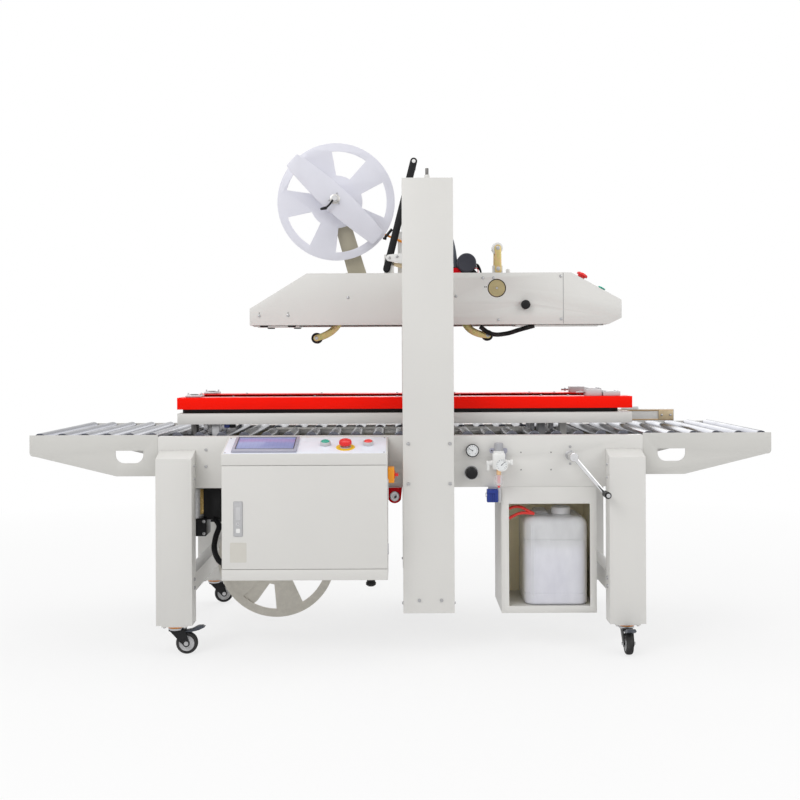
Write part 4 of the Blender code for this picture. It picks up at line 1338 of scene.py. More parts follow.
def bent_bar(start, elbow, end, radius, steps=10):
    """The outline of a bar that curves through its elbow, with round ends."""
    a, b, c = Vector(start), Vector(elbow), Vector(end)
    spine = [a.lerp(b, t / steps).lerp(b.lerp(c, t / steps), t / steps) for t in range(steps + 1)]
    left, right = [], []
    for index, point in enumerate(spine):
        before, after = spine[max(0, index - 1)], spine[min(steps, index + 1)]
        along = (after - before).normalized()
        across = Vector((-along.y, along.x)) * radius
        left.append(tuple(point + across))
        right.append(tuple(point - across))

    def round_end(point, way):
        lean = degrees(atan2(way.y, way.x))
        return arc(point, radius, lean - 90, lean + 90, 8)[1:-1]

    nose, tail = round_end(end, spine[-1] - spine[-2]), round_end(start, spine[0] - spine[1])
    return right + nose + left[::-1] + tail


def roller_arm(name, pivot, elbow, tip):
    """Two curved bars on a long hub, with a soft roller between their ends."""
    bends = (2 * elbow[0] - (pivot[0] + tip[0]) / 2, 2 * elbow[1] - (pivot[1] + tip[1]) / 2)
    for label, side in (("near", -1), ("far", 1)):
        outline = bent_bar(pivot, bends, tip, 0.0105)
        bar = cut_plate("bar", "XZ", (side * 0.0205, side * 0.0245), outline, (), 0.0006)
        fit(bar, name, "zinc", name if side < 0 else ()).name = f"{name}_{label}_bar"
    stations = both_ends([(0.009, 0), (0.0098, 0.001)], 0.087)
    hub = turned(f"{name}_hub", (pivot[0], 0.0435, pivot[1]), FRONT, stations, 36)
    fit(hub, name, "dark_steel")
    ends = both_faces(*pivot, 0.0435)
    fit(set_of(f"{name}_pivot_bolts", bolt_master(0.0052), ends), name, "screw")
    stations = both_ends([(0.0098, 0), (0.016, 0), (0.018, 0.002)], 0.037)
    tyre = turned(f"{name}_tyre", (tip[0], 0.0185, tip[1]), FRONT, stations, 44, bored=True)
    fit(tyre, name, "tyre")
    fit(drum(f"{name}_core", (tip[0], 0.02, tip[1]), (tip[0], -0.02, tip[1]), 0.0097, 0.0006), name, "brass")
    ends = both_faces(*tip, 0.0245)
    fit(set_of(f"{name}_axle_nuts", bolt_master(0.0046), ends), name, "screw")
    pin = drum(f"{name}_spring_pin", (elbow[0], -0.0205, elbow[1]), (elbow[0], 0.0205, elbow[1]), 0.0036)
    fit(pin, name, "steel")


def dancer():
    """The dancer's straight bar, the roller across its end and the roller's bolt."""
    pivot, tip, name = (-0.033, 1.211), (0.047, 1.5235), "dancer_arm"
    tail = (pivot[0] - 0.009, pivot[1] - 0.0352)
    bar = cut_plate("dancer_bar", "XZ", (-0.115, -0.1085), capsule(tail, tip, 0.0115, 0.0115), (), 0.001)
    fit(bar, name, "black_arm", name)
    roller = turned(
        "dancer_roller", (tip[0], 0.044, tip[1]), FRONT,
        [(0.0045, 0), (0.0045, 0.003), (0.0088, 0.003), (0.009, 0.005), (0.009, 0.146), (0.0088, 0.148),
         (0.0045, 0.148), (0.0045, 0.152)], 32, 0.0003,
    )
    fit(roller, name, "dark_steel")
    bolt = turned(
        "dancer_bolt", (tip[0], -0.115, tip[1]), FRONT, [(0.0062, 0), (0.0058, 0.0016), (0.003, 0.0022)], 28
    )
    fit(bolt, name, "white")


def measuring_arm():
    """Two short bars on one pivot, with the measuring roller between them."""
    pivot, tip, name = (0.3235, 1.18), (0.3225, 1.248), "measuring_arm"
    outline = capsule((pivot[0], 1.1735), tip, 0.011, 0.011)
    bar = cut_plate("measuring_bar", "XZ", (-0.0585, -0.0555), outline, (), 0.0008)
    fit(bar, name, "zinc", name)
    outline = capsule((pivot[0] - 0.002, 1.1757), tip, 0.011, 0.011)
    inner = cut_plate("inner_bar", "XZ", (-0.018, -0.015), outline, (), 0.0008)
    fit(inner, name, "zinc").name = "measuring_inner_bar"
    stations = both_ends([(0.005, 0), (0.0172, 0), (0.018, 0.001)], 0.0355)
    wheel = turned("measuring_roller", (tip[0] - 0.001, -0.019, tip[1]), FRONT, stations, 48, 0.0003)
    fit(wheel, name, "white")
    heads = [(x, -0.0585, z) for x, z in (tip, pivot)]
    fit(bolts("measuring_bolts", heads, FRONT, 0.005), name, "screw")


# Reels

def reels():
    """Both flanged reels on their arms, and the upper one's retainer and clamp lever."""
    flange("upper_reel", UPPER_REEL, "reel", 2)
    flange("lower_reel", LOWER_REEL, "lower_reel", 33)
    upper_reel_arm()
    finish_node("lower_reel_arm", "frame", "khaki", details().edge)
    reel_arm_fittings("upper", "head", UPPER_REEL, (-0.146, 1.172), 1)
    reel_arm_fittings("lower", "frame", LOWER_REEL, (-0.395, 0.4905), -1)
    retainer()
    clamp_lever()
    lower_paddle()


def upper_reel_arm():
    """A straight-sided bar from the head to the reel's axle, with its base, collar and axle."""
    x, z = UPPER_REEL
    sides = arc(UPPER_REEL, 0.03, -16.5, 163.5, 24) + [(-0.17, 1.163), (-0.108, 1.163)]
    bar = cut_plate("bar", "XZ", (-0.004, 0.002), sides, (), 0.001)
    base = block("base", (-0.18, -0.003, 1.1623), (-0.112, 0.05, 1.172), 0.0008)
    axle = drum("axle", (x, 0.001, z), (x, -0.0895, z), 0.01)
    collar = drum("collar", (x, 0.001, z), (x, -0.0255, z), 0.02)
    fit(merged("upper_reel_arm_bar", [bar, base, axle, collar]), "head", "khaki", "upper_reel_arm")


def flange(name, centre, finish, first_window):
    """A reel: its disc with five windows, and its hub with three keys."""
    windows = []
    for way in range(first_window, first_window + 360, 72):
        rim = arc(centre, 0.167, way - 20.5, way + 20.5, 16)
        near = arc(centre, 0.087, way + 15.5, way - 15.5, 8)
        windows.append(rim + [mid(rim[-1], near[0], 0.12)] + near + [mid(near[-1], rim[0], 0.88)])
    holes = [*windows, circle(centre, 0.0107, 32)]
    disc = cut_plate("disc", "XZ", (-0.03, -0.026), circle(centre, 0.194, 96), holes, 0.0007)
    x, z = centre
    fit(disc, name, finish, name).name = f"{name}_disc"
    hub = turned(
        f"{name}_hub", (x, -0.03, z), FRONT,
        [(0.0107, 0), (0.042, 0), (0.042, 0.003), (0.037, 0.004), (0.037, 0.056), (0.0355, 0.0582),
         (0.0107, 0.0582)], 64, 0.0004, bored=True,
    )
    fit(hub, name, finish)
    key = around("key", (x + 0.0375, -0.06, z), (0.003, 0.044, 0.006), 0.0006)
    fit(merged(f"{name}_keys", fan(key, (20, 140, 260), (0, 1, 0), (x, 0, z))), name, "steel")
    heads = [(u, -0.0882, w) for u, w in at_angles(centre, 0.03, (30, 150, 270))]
    fit(screws(f"{name}_screws", heads, FRONT, 0.0034), name, "screw")


def mid(start, end, share):
    """A point part of the way from one to another, in a plane."""
    return (start[0] + (end[0] - start[0]) * share, start[1] + (end[1] - start[1]) * share)


def reel_arm_fittings(name, body, axle, foot, down):
    """A reel arm's brake collar, axle nut, gusset and foot bolts."""
    x, z = axle
    collar = ring(f"{name}_reel_brake", (x, -0.005, z), FRONT, 0.0101, 0.029, 0.016, 48, 0.0008)
    fit(collar, body, "dark_steel")
    stations = [(0.014, 0), (0.014, 0.009), (0.012, 0.01)]
    fit(turned(f"{name}_axle_nut", (x, 0.002, z), BACK, stations, 6, 0.0005), body, "screw")
    x, z = foot
    outline = [(0.002, z), (0.042, z), (0.002, z + down * 0.06)]
    gusset = cut_plate(f"{name}_arm_gusset", "YZ", (x - 0.0015, x + 0.0015), outline, (), 0.0004)
    fit(gusset, body, "khaki")
    heads = spread((x, 0.026, z), dx=0.022, dy=0.012)
    fit(bolts(f"{name}_arm_bolts", heads, (0, 0, down), 0.0048), body, "screw")


def retainer():
    """The leaf-shaped plate that holds the roll on, blunt at both ends, with its boss and screws."""
    x, z = UPPER_REEL
    lean, half, tip, bulge, corner = -42.5, 0.19, 0.027, 0.042, 0.007
    direction = Vector((cos(radians(lean)), sin(radians(lean))))
    side = Vector((-direction.y, direction.x))
    outline = []
    for way in (1, -1):
        end, far = (Vector((x, z)) + direction * half * sign for sign in (way, -way))
        for sign in (-1, 1):
            centre = end - direction * way * corner + side * way * sign * (tip - corner)
            start = lean + 90 * (1 - way) + 45 * (sign - 1)
            outline += arc(centre, corner, start, start + 90, 5)
        for share in (step / 18 for step in range(1, 18)):
            width = tip + (bulge - tip) * sin(pi * share)
            outline.append(tuple(end.lerp(far, share) + side * way * width))
    leaf = cut_plate("retainer_leaf", "XZ", (-0.0945, -0.0905), outline, (), 0.001)
    fit(leaf, "upper_reel", "retainer", "reel_retainer")
    boss = turned(
        "retainer_boss", (x, -0.094, z), FRONT,
        [(0.0165, 0), (0.0165, 0.0022), (0.013, 0.003), (0.013, 0.0085), (0.0118, 0.01)], 48, 0.0003
    )
    fit(boss, "upper_reel", "plate_steel")
    heads = [(u, -0.0958, w) for u, w in at_angles(UPPER_REEL, 0.02, (70, 190, 310))]
    fit(screws("retainer_screws", heads, FRONT, 0.0026), "upper_reel", "screw")


def clamp_lever():
    """The lever's bent arm and grip on their hub, in front of the retainer's boss."""
    x, z = UPPER_REEL
    stations = [(0.0086, 0), (0.0086, 0.0065), (0.0075, 0.0085), (0.003, 0.0085)]
    hub = turned("clamp_hub", (x, -0.1045, z), FRONT, stations, 32)
    outline = bent_bar((x - 0.006, z - 0.004), (x - 0.016, z - 0.022), (x - 0.03, z - 0.031), 0.0032)
    lever = cut_plate("lever", "XZ", (-0.111, -0.107), outline, (), 0.0012)
    outline = capsule((x - 0.029, z - 0.031), (x - 0.043, z - 0.034), 0.0052, 0.004)
    grip = cut_plate("grip", "XZ", (-0.1125, -0.106), outline, (), 0.0018)
    fit(merged("clamp_lever", [lever, grip]), "reel_clamp", "black", "reel_clamp_lever")
    fit(hub, "reel_clamp", "chrome")


def lower_paddle():
    """The leaf behind the lower reel's flange, which turns with it."""
    ways = [Vector((cos(radians(a)), sin(radians(a)))) * 0.15 for a in (54, 234)]
    outline = capsule(*(tuple(Vector(LOWER_REEL) + way) for way in ways), 0.03, 0.03)
    hole = circle(LOWER_REEL, 0.0215, 32)
    leaf = cut_plate("lower_leaf", "XZ", (-0.0258, -0.0234), outline, [hole], 0.0006)
    fit(leaf, "lower_reel", "lower_reel")


# Electrical cabinet

# The sloping panel: its front edge, its slope, the way up it and the way out of it
PANEL_FRONT = Vector((0, -0.45, 0.609))
PANEL_SLOPE = 0.04 / 0.1397
PANEL_RUN = Vector((0, 0.1397, 0.04)).normalized()
PANEL_UP = Vector((0, -0.04, 0.1397)).normalized()


def on_panel(x, along, lift=0.0):
    """A place on the sloping panel: across it, up it from its front edge, and above its face."""
    return Vector((x, 0, 0)) + PANEL_FRONT + PANEL_RUN * along + PANEL_UP * lift


def laid_on_panel(piece):
    """Tip a flat piece that was made level about the panel's front edge."""
    return turn(piece, degrees(atan(PANEL_SLOPE)), (1, 0, 0), PANEL_FRONT)


def panel_plate(name, x, along, lift, height, corner=0.004, rounding=0.0004):
    """A thin plate on the sloping panel, given across, up and above it."""
    y, z = PANEL_FRONT.y, PANEL_FRONT.z
    outline = rounded((x[0], y + along[0]), (x[1], y + along[1]), corner)
    return laid_on_panel(cut_plate(name, "XY", (z + lift, z + lift + height), outline, (), rounding))


def cabinet():
    """The shell, its door and latch, the panel's devices, the isolator and what is inside."""
    finish_node("cabinet_shell", "frame", "body", details().edge * 1.5)
    cabinet_door()
    door_latch()
    touch_screen()
    panel_buttons()
    emergency_stop()
    isolator()
    cabinet_inside()
    cabinet_below()
    conduit()


def cabinet_door():
    """The door's sheet, its rubber seal, the sticker left bare, and the hinge knuckles on its right."""
    finish_node("cabinet_door", "cabinet_door", "body", 0.0012, 3)
    low, high = box("cabinet_door")
    x0, x1, z0, z1 = low.x + 0.024, high.x - 0.024, low.z + 0.021, high.z - 0.021
    wide = 0.006
    runs = (
        (x0, z0, x1, z0 + wide), (x0, z1 - wide, x1, z1), (x0, z0, x0 + wide, z1), (x1 - wide, z0, x1, z1)
    )
    seal = [block("seal", (u0, high.y, w0), (u1, high.y + 0.003, w1), 0.0008) for u0, w0, u1, w1 in runs]
    fit(merged("door_seal", seal), "cabinet_door", "rubber")
    outline = rounded((-0.499, 0.293), (-0.451, 0.351), 0.003)
    sticker = cut_plate("bare_sticker", "XZ", (low.y - 0.0003, low.y + 0.0002), outline, (), 0)
    fit(sticker, "cabinet_door", "label")
    x, y = high.x + 0.0002, low.y + 0.005
    knuckles = [drum("knuckle", (x, y, z - 0.016), (x, y, z + 0.016), 0.0038) for z in (0.33, 0.518)]
    fit(merged("hinge_knuckles", knuckles), "frame", "steel")


def door_latch():
    """A pressed well, a flush handle that swings out, and its lock."""
    low, high = box("door_latch")
    x, z = (low.x + high.x) / 2, (low.z + high.z) / 2
    wide, tall = (high.x - low.x) / 2, (high.z - low.z) / 2
    for name, finish, rise, half, lift, front, depth in (
        ("latch_plate", "silver", tall, wide, 0, 0.0014, 0.0018),
        ("latch_grip", "pale_grey", 0.019, 0.0066, 0.016, 0, 0.0016),
        ("latch_catch", "white", 0.0064, 0.006, -0.034, 0, 0.0016)
    ):
        outline = rounded((x - half, z + lift - rise), (x + half, z + lift + rise), 0.0025)
        pad = cut_plate(name, "XZ", (low.y + front, low.y + front + depth), outline, (), 0.0004)
        fit(pad, "door_latch", finish, "door_latch" if lift == 0 else ())
    stations = [(0.004, 0), (0.004, 0.0008), (0.0026, 0.001)]
    lock = turned("latch_lock", (x, low.y + 0.0014, z - 0.014), FRONT, stations, 28)
    fit(lock, "door_latch", "chrome")
    # the lock's key slit is a dark mark: painted shade
    slit = around("latch_slit", (x, low.y + 0.0004, z - 0.014), (0.002, 0.0006, 0.0044), 0)
    fit(slit, "door_latch", "mark")
    wide, tall, rim = wide + 0.002, tall + 0.002, 0.0014
    outer = rounded((x - wide, z - tall), (x + wide, z + tall), 0.004)
    inner = rounded((x - wide + rim, z - tall + rim), (x + wide - rim, z + tall - rim), 0.003)
    fit(cut_plate("latch_surround", "XZ", (-0.4508, -0.45), outer, [inner], 0.0003), "cabinet_door", "silver")


def touch_screen():
    """The film over the whole panel and the touch screen that stands on it."""
    film_plate = panel_plate("panel_film", (-0.519, -0.043), (0.004, 0.138), 0.0001, 0.0006, 0.006, 0.0001)
    fit(film_plate, "frame", "overlay")
    x0, x1 = -0.497, -0.305
    bezel = panel_plate("bezel", (x0, x1), (0.01, 0.133), 0.0004, 0.0062, 0.004, 0.0014)
    cut = panel_plate("window", (x0 + 0.011, x1 - 0.011), (0.03, 0.127), 0.0042, 0.01, 0.001, 0)
    fit(carved(bezel, cut), "frame", "bezel").name = "screen_bezel"
    glass = panel_plate(
        "lit_panel", (x0 + 0.0108, x1 - 0.0108), (0.0298, 0.1272), 0.0038, 0.0009, 0.001, 0.0001
    )
    fit(glass, "frame", "screen")
    # a dark rim round the screen: painted shade round the window's edge
    x0, x1, y0, y1, rim = x0 + 0.0085, x1 - 0.0085, 0.0275, 0.1295, 0.0024
    shade = panel_plate("screen_rim", (x0, x1), (y0, y1), 0.0062, 0.0006, 0.002, 0.0001)
    cut = panel_plate("cut", (x0 + rim, x1 - rim), (y0 + rim, y1 - rim), 0.005, 0.004, 0.001, 0)
    fit(carved(shade, cut), "frame", "mark")
    heads = [on_panel(x, along, 0.0005) for x in (-0.514, -0.048) for along in (0.01, 0.132)]
    fit(screws("panel_screws", heads, PANEL_UP, 0.0026), "frame", "screw")


def panel_point(x, y):
    """The panel's face at a place seen from above."""
    return Vector((x, y, PANEL_FRONT.z + (y - PANEL_FRONT.y) * PANEL_SLOPE))


def panel_buttons():
    """The start and stop buttons with their bezels."""
    cap, low, depth = 0.0135, 0.006, 0.008
    for name, x, finish in (("start_button", -0.224, "pale_green"), ("stop_button", -0.096, "pale_red")):
        place = panel_point(x, -0.378)
        button = turned(
            f"{name}_cap", place + PANEL_UP * low, PANEL_UP,
            [(cap * 0.8, 0), (cap * 0.9, depth * 0.2), (cap * 0.9, depth * 0.8), (cap * 0.8, depth),
             (cap * 0.2, depth * 0.96)], 40,
        )
        fit(button, name, finish, name)
        place += PANEL_UP * 0.0006
        bezel = ring(f"{name}_bezel", place, PANEL_UP, cap * 0.94, cap * 1.16, 0.0112, 44, 0.001)
        fit(bezel, "frame", "pale_grey")


def emergency_stop():
    """The red mushroom with its three turning marks, on its collar and yellow disc."""
    place = panel_point(-0.163, -0.4)
    disc = ring("stop_disc", place + PANEL_UP * 0.0004, PANEL_UP, 0.012, 0.028, 0.0016, 64, 0.0004)
    fit(disc, "frame", "yellow")
    collar = ring("stop_collar", place + PANEL_UP * 0.0018, PANEL_UP, 0.0132, 0.0165, 0.0022, 48, 0.0006)
    fit(collar, "frame", "pale_grey")
    cap = turned(
        "stop_mushroom", place + PANEL_UP * 0.0078, PANEL_UP,
        [(0.011, 0), (0.0125, 0.0016), (0.0182, 0.0036), (0.019, 0.0064), (0.0188, 0.011), (0.0172, 0.0148),
         (0.013, 0.0172), (0.006, 0.0181)], 56,
    )
    fit(cap, "emergency_stop", "red", "emergency_stop")
    mark = around("mark", place + PANEL_UP * 0.0238 + Vector((0.012, 0, 0)), (0.0016, 0.008, 0.0006), 0)
    fit(merged("stop_marks", fan(mark, (30, 150, 270), PANEL_UP, place)), "emergency_stop", "white")


def isolator():
    """The main switch: its orange housing, the red handle in it, and the red interlock by it."""
    x0 = box("cabinet_shell")[1].x
    y, z = -0.381, 0.541
    base = around("isolator_base", (x0 + 0.0099, y, z), (0.0194, 0.048, 0.046), 0.003, 3)
    hole = drum("hole", (x0 - 0.002, y, z), (x0 + 0.03, y, z), 0.0136, 0)
    fit(carved(base, hole), "frame", "amber")
    stations = [(0.0128, 0), (0.0128, 0.0195), (0.011, 0.0212)]
    knob = turned("knob", (x0 + 0.0008, y, z), RIGHT, stations, 44, 0.0004)
    bar = around("bar", (x0 + 0.0262, y, z), (0.011, 0.036, 0.0076), 0.0022, 3)
    fit(merged("isolator_knob", [knob, bar]), "isolator_handle", "red", "isolator_handle")
    x, z = -0.018, 0.468
    outline = [(-0.037, 0.4938)] + arc((x, z), 0.0215, 207, 333, 20) + [(0.005, 0.4938)]
    fit(cut_plate("interlock_lug", "XZ", (-0.318, -0.308), outline, (), 0.0014), "frame", "signal_lug")
    stations = [(0.015, 0), (0.015, 0.003), (0.0132, 0.0042), (0.0062, 0.0042), (0.0056, 0.0026)]
    fit(turned("interlock_disc", (x, -0.318, z), FRONT, stations, 44, 0.0003), "frame", "silver")
    x, z = x + 0.002, z - 0.002
    # a dark disc for the keyhole: painted shade
    fit(drum("interlock_keyhole", (x, -0.3196, z), (x, -0.3228, z), 0.0036), "frame", "mark")


def cabinet_inside():
    """The gear on its back plate: drive, contactors, terminals, trunking and wires."""
    low, high = box("cabinet_shell")
    back = high.y - 0.0032
    plate = block("back_plate", (low.x + 0.02, back - 0.0022, 0.26), (high.x - 0.02, back, 0.575), 0.0006)
    fit(plate, "frame", "plate_steel")
    face = back - 0.0022
    ducts = [
        block("duct", (low.x + 0.028, face - 0.03, z - 0.012), (high.x - 0.028, face, z + 0.012), 0.001)
        for z in (0.29, 0.42, 0.556)
    ]
    fit(merged("trunking", ducts), "frame", "pale_grey")
    for name, x, (wide, deep, tall), finish in (
        ("frequency_drive", -0.455, (0.085, 0.08, 0.105), "black"),
        ("power_supply", -0.35, (0.07, 0.085, 0.1), "silver"),
        ("controller", -0.235, (0.12, 0.07, 0.09), "grey"),
        ("fuse_row", -0.105, (0.072, 0.066, 0.085), "white")
    ):
        fit(around(name, (x, face - deep / 2, 0.488), (wide, deep, tall), 0.002, 3), "frame", finish)
    contactors = [
        around("contactor", (-0.47 + n * 0.052, face - 0.036, 0.355), (0.045, 0.072, 0.074), 0.0018)
        for n in range(3)
    ]
    fit(merged("contactors", contactors), "frame", "bezel")
    rail = around("terminal_rail", (-0.21, face - 0.004, 0.355), (0.23, 0.0075, 0.035), 0.0006)
    fit(rail, "frame", "plate_steel")
    first = around("terminal", (-0.318, face - 0.026, 0.355), (0.0056, 0.044, 0.046), 0.0006)
    terminals = [first] + [copied(first, (n * 0.0062, 0, 0)) for n in range(1, 34)]
    fit(merged("terminals", terminals), "frame", "pale_grey")
    wires = [
        hose("wire", [
            (x, face - 0.034, 0.436), (x + 0.004, face - 0.044, 0.428 - 0.002 * (n % 2)),
            (x + 0.01, face - 0.04, 0.412), (x + 0.012, face - 0.03, 0.399),
        ], 0.0021, 2)
        for n, x in enumerate((-0.44, -0.352, -0.262, -0.205, -0.118))
    ]
    fit(merged("wiring", wires), "frame", "blue")


def cabinet_below():
    """The cable gland under the cabinet, and the stays between it and the rail."""
    floor = box("cabinet_shell")[0].z
    gland = turned(
        "cable_gland", (-0.089, -0.4, floor), DOWN,
        [(0.016, 0), (0.016, 0.005), (0.0125, 0.0058), (0.0125, 0.015), (0.015, 0.016), (0.015, 0.023),
         (0.009, 0.0275), (0.0056, 0.0275), (0.005, 0.02)], 24, 0.0004,
    )
    fit(gland, "frame", "black")
    stays = [around("stay", (x, -0.3125, 0.625), (0.03, 0.004, 0.03), 0.001) for x in (-0.47, -0.09)]
    fit(merged("cabinet_stays", stays), "frame", "plate_steel")


def conduit():
    """The black corrugated conduit from the front motor's box into the cabinet's side."""
    knots = [Vector(knot) for knot in (
        (-0.595, -0.165, 0.385), (-0.572, -0.2, 0.362), (-0.575, -0.245, 0.335),
        (-0.572, -0.29, 0.305), (-0.552, -0.33, 0.278), (-0.525, -0.35, 0.268),
    )]
    core = hose("conduit", knots, 0.007)
    path = []
    for before, start, end, after in zip([knots[0]] + knots, knots, knots[1:], knots[2:] + [knots[-1]]):
        for share in (step / 8 for step in range(8)):
            rest = 1 - share
            path.append(
                rest ** 3 * start + 3 * rest ** 2 * share * (start + (end - before) / 6)
                + 3 * rest * share ** 2 * (end - (after - start) / 6) + share ** 3 * end
            )
    rings = [(here, (after - before).normalized()) for before, here, after in zip(path, path[1:], path[2:])]
    rib = turned(
        "rib", -PATH, UP, [(0.007, -0.0016), (0.0088, -0.0007), (0.0088, 0.0007), (0.007, 0.0016)], 16
    )
    sleeve = merged("conduit", [core, set_of("ribs", rib, rings)])
    material, slot = FINISHES["cable"]
    sleeve.data.materials.clear()
    sleeve.data.materials.append(material)
    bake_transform(sleeve)
    stations = [(0.014, 0), (0.014, 0.006), (0.0112, 0.007), (0.0112, 0.016)]
    fit(turned("conduit_collar", (-0.524, -0.35, 0.268), LEFT, stations, 6, 0.0005), "frame", "black")


# Width crank

def width_crank():
    """The screw and its flange, the chrome arm and the turning grip."""
    (x, z), (tip_x, tip_z) = WIDTH_SCREW, (0.609, 0.482)
    outline = capsule(WIDTH_SCREW, (tip_x, tip_z), 0.0068, 0.006)
    arm = cut_plate("arm", "XZ", (-0.388, -0.38), outline, (), 0.003)
    stations = [(0.012, 0), (0.0135, 0.002), (0.0135, 0.0465), (0.012, 0.049), (0.005, 0.049)]
    hub = turned("hub", (x, -0.34, z), FRONT, stations, 44, 0.0004)
    pin = drum("pin", (tip_x, -0.384, tip_z), (tip_x, -0.44, tip_z), 0.0039)
    fit(merged("crank_arm", [arm, hub, pin]), "width_crank", "chrome", "width_crank")
    stations = [(0.0068, 0), (0.0079, 0.001), (0.0079, 0.002), (0.0068, 0.003)]
    first = turned("thread", (x, -0.336, z), BACK, stations, 20)
    threads = [first] + [copied(first, (0, n * 0.004, 0)) for n in range(1, 158)]
    fit(merged("width_screw", threads), "width_crank", "steel")
    fit(drum("screw_core", (x, -0.34, z), (x, 0.299, z), 0.0069), "width_crank", "steel")
    grip = turned(
        "grip", (tip_x, -0.3886, tip_z), FRONT,
        [(0.0046, 0), (0.0088, 0), (0.0098, 0.003), (0.0086, 0.016), (0.0104, 0.04), (0.0102, 0.048),
         (0.008, 0.0528), (0.0046, 0.053)], 36, 0.0002, bored=True,
    )
    fit(grip, "crank_grip", "black", "crank_grip")
    cap = drum("grip_cap", (tip_x, -0.4404, tip_z), (tip_x, -0.4418, tip_z), 0.0062, 0.0005)
    fit(cap, "crank_grip", "steel")
    stations = [
        (0.015, 0), (0.015, 0.003), (0.0128, 0.0036), (0.0128, 0.02), (0.0118, 0.0215), (0.0085, 0.0215)
    ]
    flange_piece = turned("screw_flange", (x, -0.3103, z), FRONT, stations, 44, 0.0004)
    bore = drum("bore", (x, -0.3, z), (x, -0.36, z), 0.0083, 0)
    fit(carved(flange_piece, bore), "frame", "silver")
    fit(screws("flange_screws", spread((x, -0.31, z), dz=0.026), FRONT, 0.004), "frame", "screw")


# Compressed air: gauge, knob, filter and regulator

def gauge(name, centre, radius, depth, body, needle):
    """A round gauge that faces the front, with its scale and needle under a lens."""
    x, y, z = centre
    case = turned(
        f"{name}_case", (x, y + depth, z), FRONT,
        [
            (radius * 0.55, 0), (radius * 0.92, depth * 0.18), (radius * 0.94, depth * 0.8),
            (radius, depth * 0.84), (radius, depth), (radius * 0.9, depth), (radius * 0.87, depth * 0.88)
        ],
        48, 0.0002
    )
    fit(case, "frame", body)
    face = drum(f"{name}_face", (x, y + depth * 0.13, z), (x, y + depth * 0.09, z), radius * 0.86, 0.0001, 44)
    fit(face, "frame", "enamel")
    front = y + depth * 0.085
    tick = around("tick", (x, front, z + radius * 0.7), (radius * 0.05, 0.0004, radius * 0.18), 0)
    ticks = fan(tick, range(-135, 136, 27), (0, 1, 0), (x, 0, z))
    pointer = around(
        "pointer", (x, front - 0.0003, z + radius * 0.28), (radius * 0.085, 0.0004, radius * 0.8), 0
    )
    ticks.append(turn(pointer, needle, (0, 1, 0), (x, 0, z)))
    ticks.append(drum("boss", (x, front, z), (x, front - 0.0008, z), radius * 0.09, 0.0001, 16))
    fit(merged(f"{name}_scale", ticks), "frame", "mark")
    stations = [(radius * 0.89, 0), (radius * 0.89, depth * 0.03), (radius * 0.5, depth * 0.045)]
    fit(turned(f"{name}_lens", (x, y + depth * 0.05, z), FRONT, stations, 44), "frame", "lens")


def air_service():
    """The gauge and the ribbed pressure knob on the rail, the filter and the valve."""
    gauge("rail_gauge", (0.219, -0.325, 0.6062), 0.02, 0.0147, "black", -60)
    x, z = 0.216, 0.538
    knob = turned(
        "pressure_knob_cap", (x, -0.3103, z), FRONT,
        [(0.012, 0), (0.015, 0.002), (0.0172, 0.004), (0.018, 0.008), (0.018, 0.023), (0.0165, 0.029),
         (0.012, 0.0315), (0.004, 0.0317)], 44, 0.0002,
    )
    rib = around("rib", (x + 0.0178, -0.326, z), (0.0012, 0.015, 0.0016), 0.0004)
    ribs = fan(rib, range(0, 360, 20), (0, 1, 0), (x, 0, z))
    fit(merged("pressure_knob_cap", [knob, *ribs]), "pressure_knob", "black", "pressure_knob")
    collar = ring("pressure_ring", (x, -0.3102, z), FRONT, 0.0185, 0.0215, 0.0022, 44, 0.0004)
    fit(collar, "frame", "screw")
    filter_regulator()
    shut_off_valve()


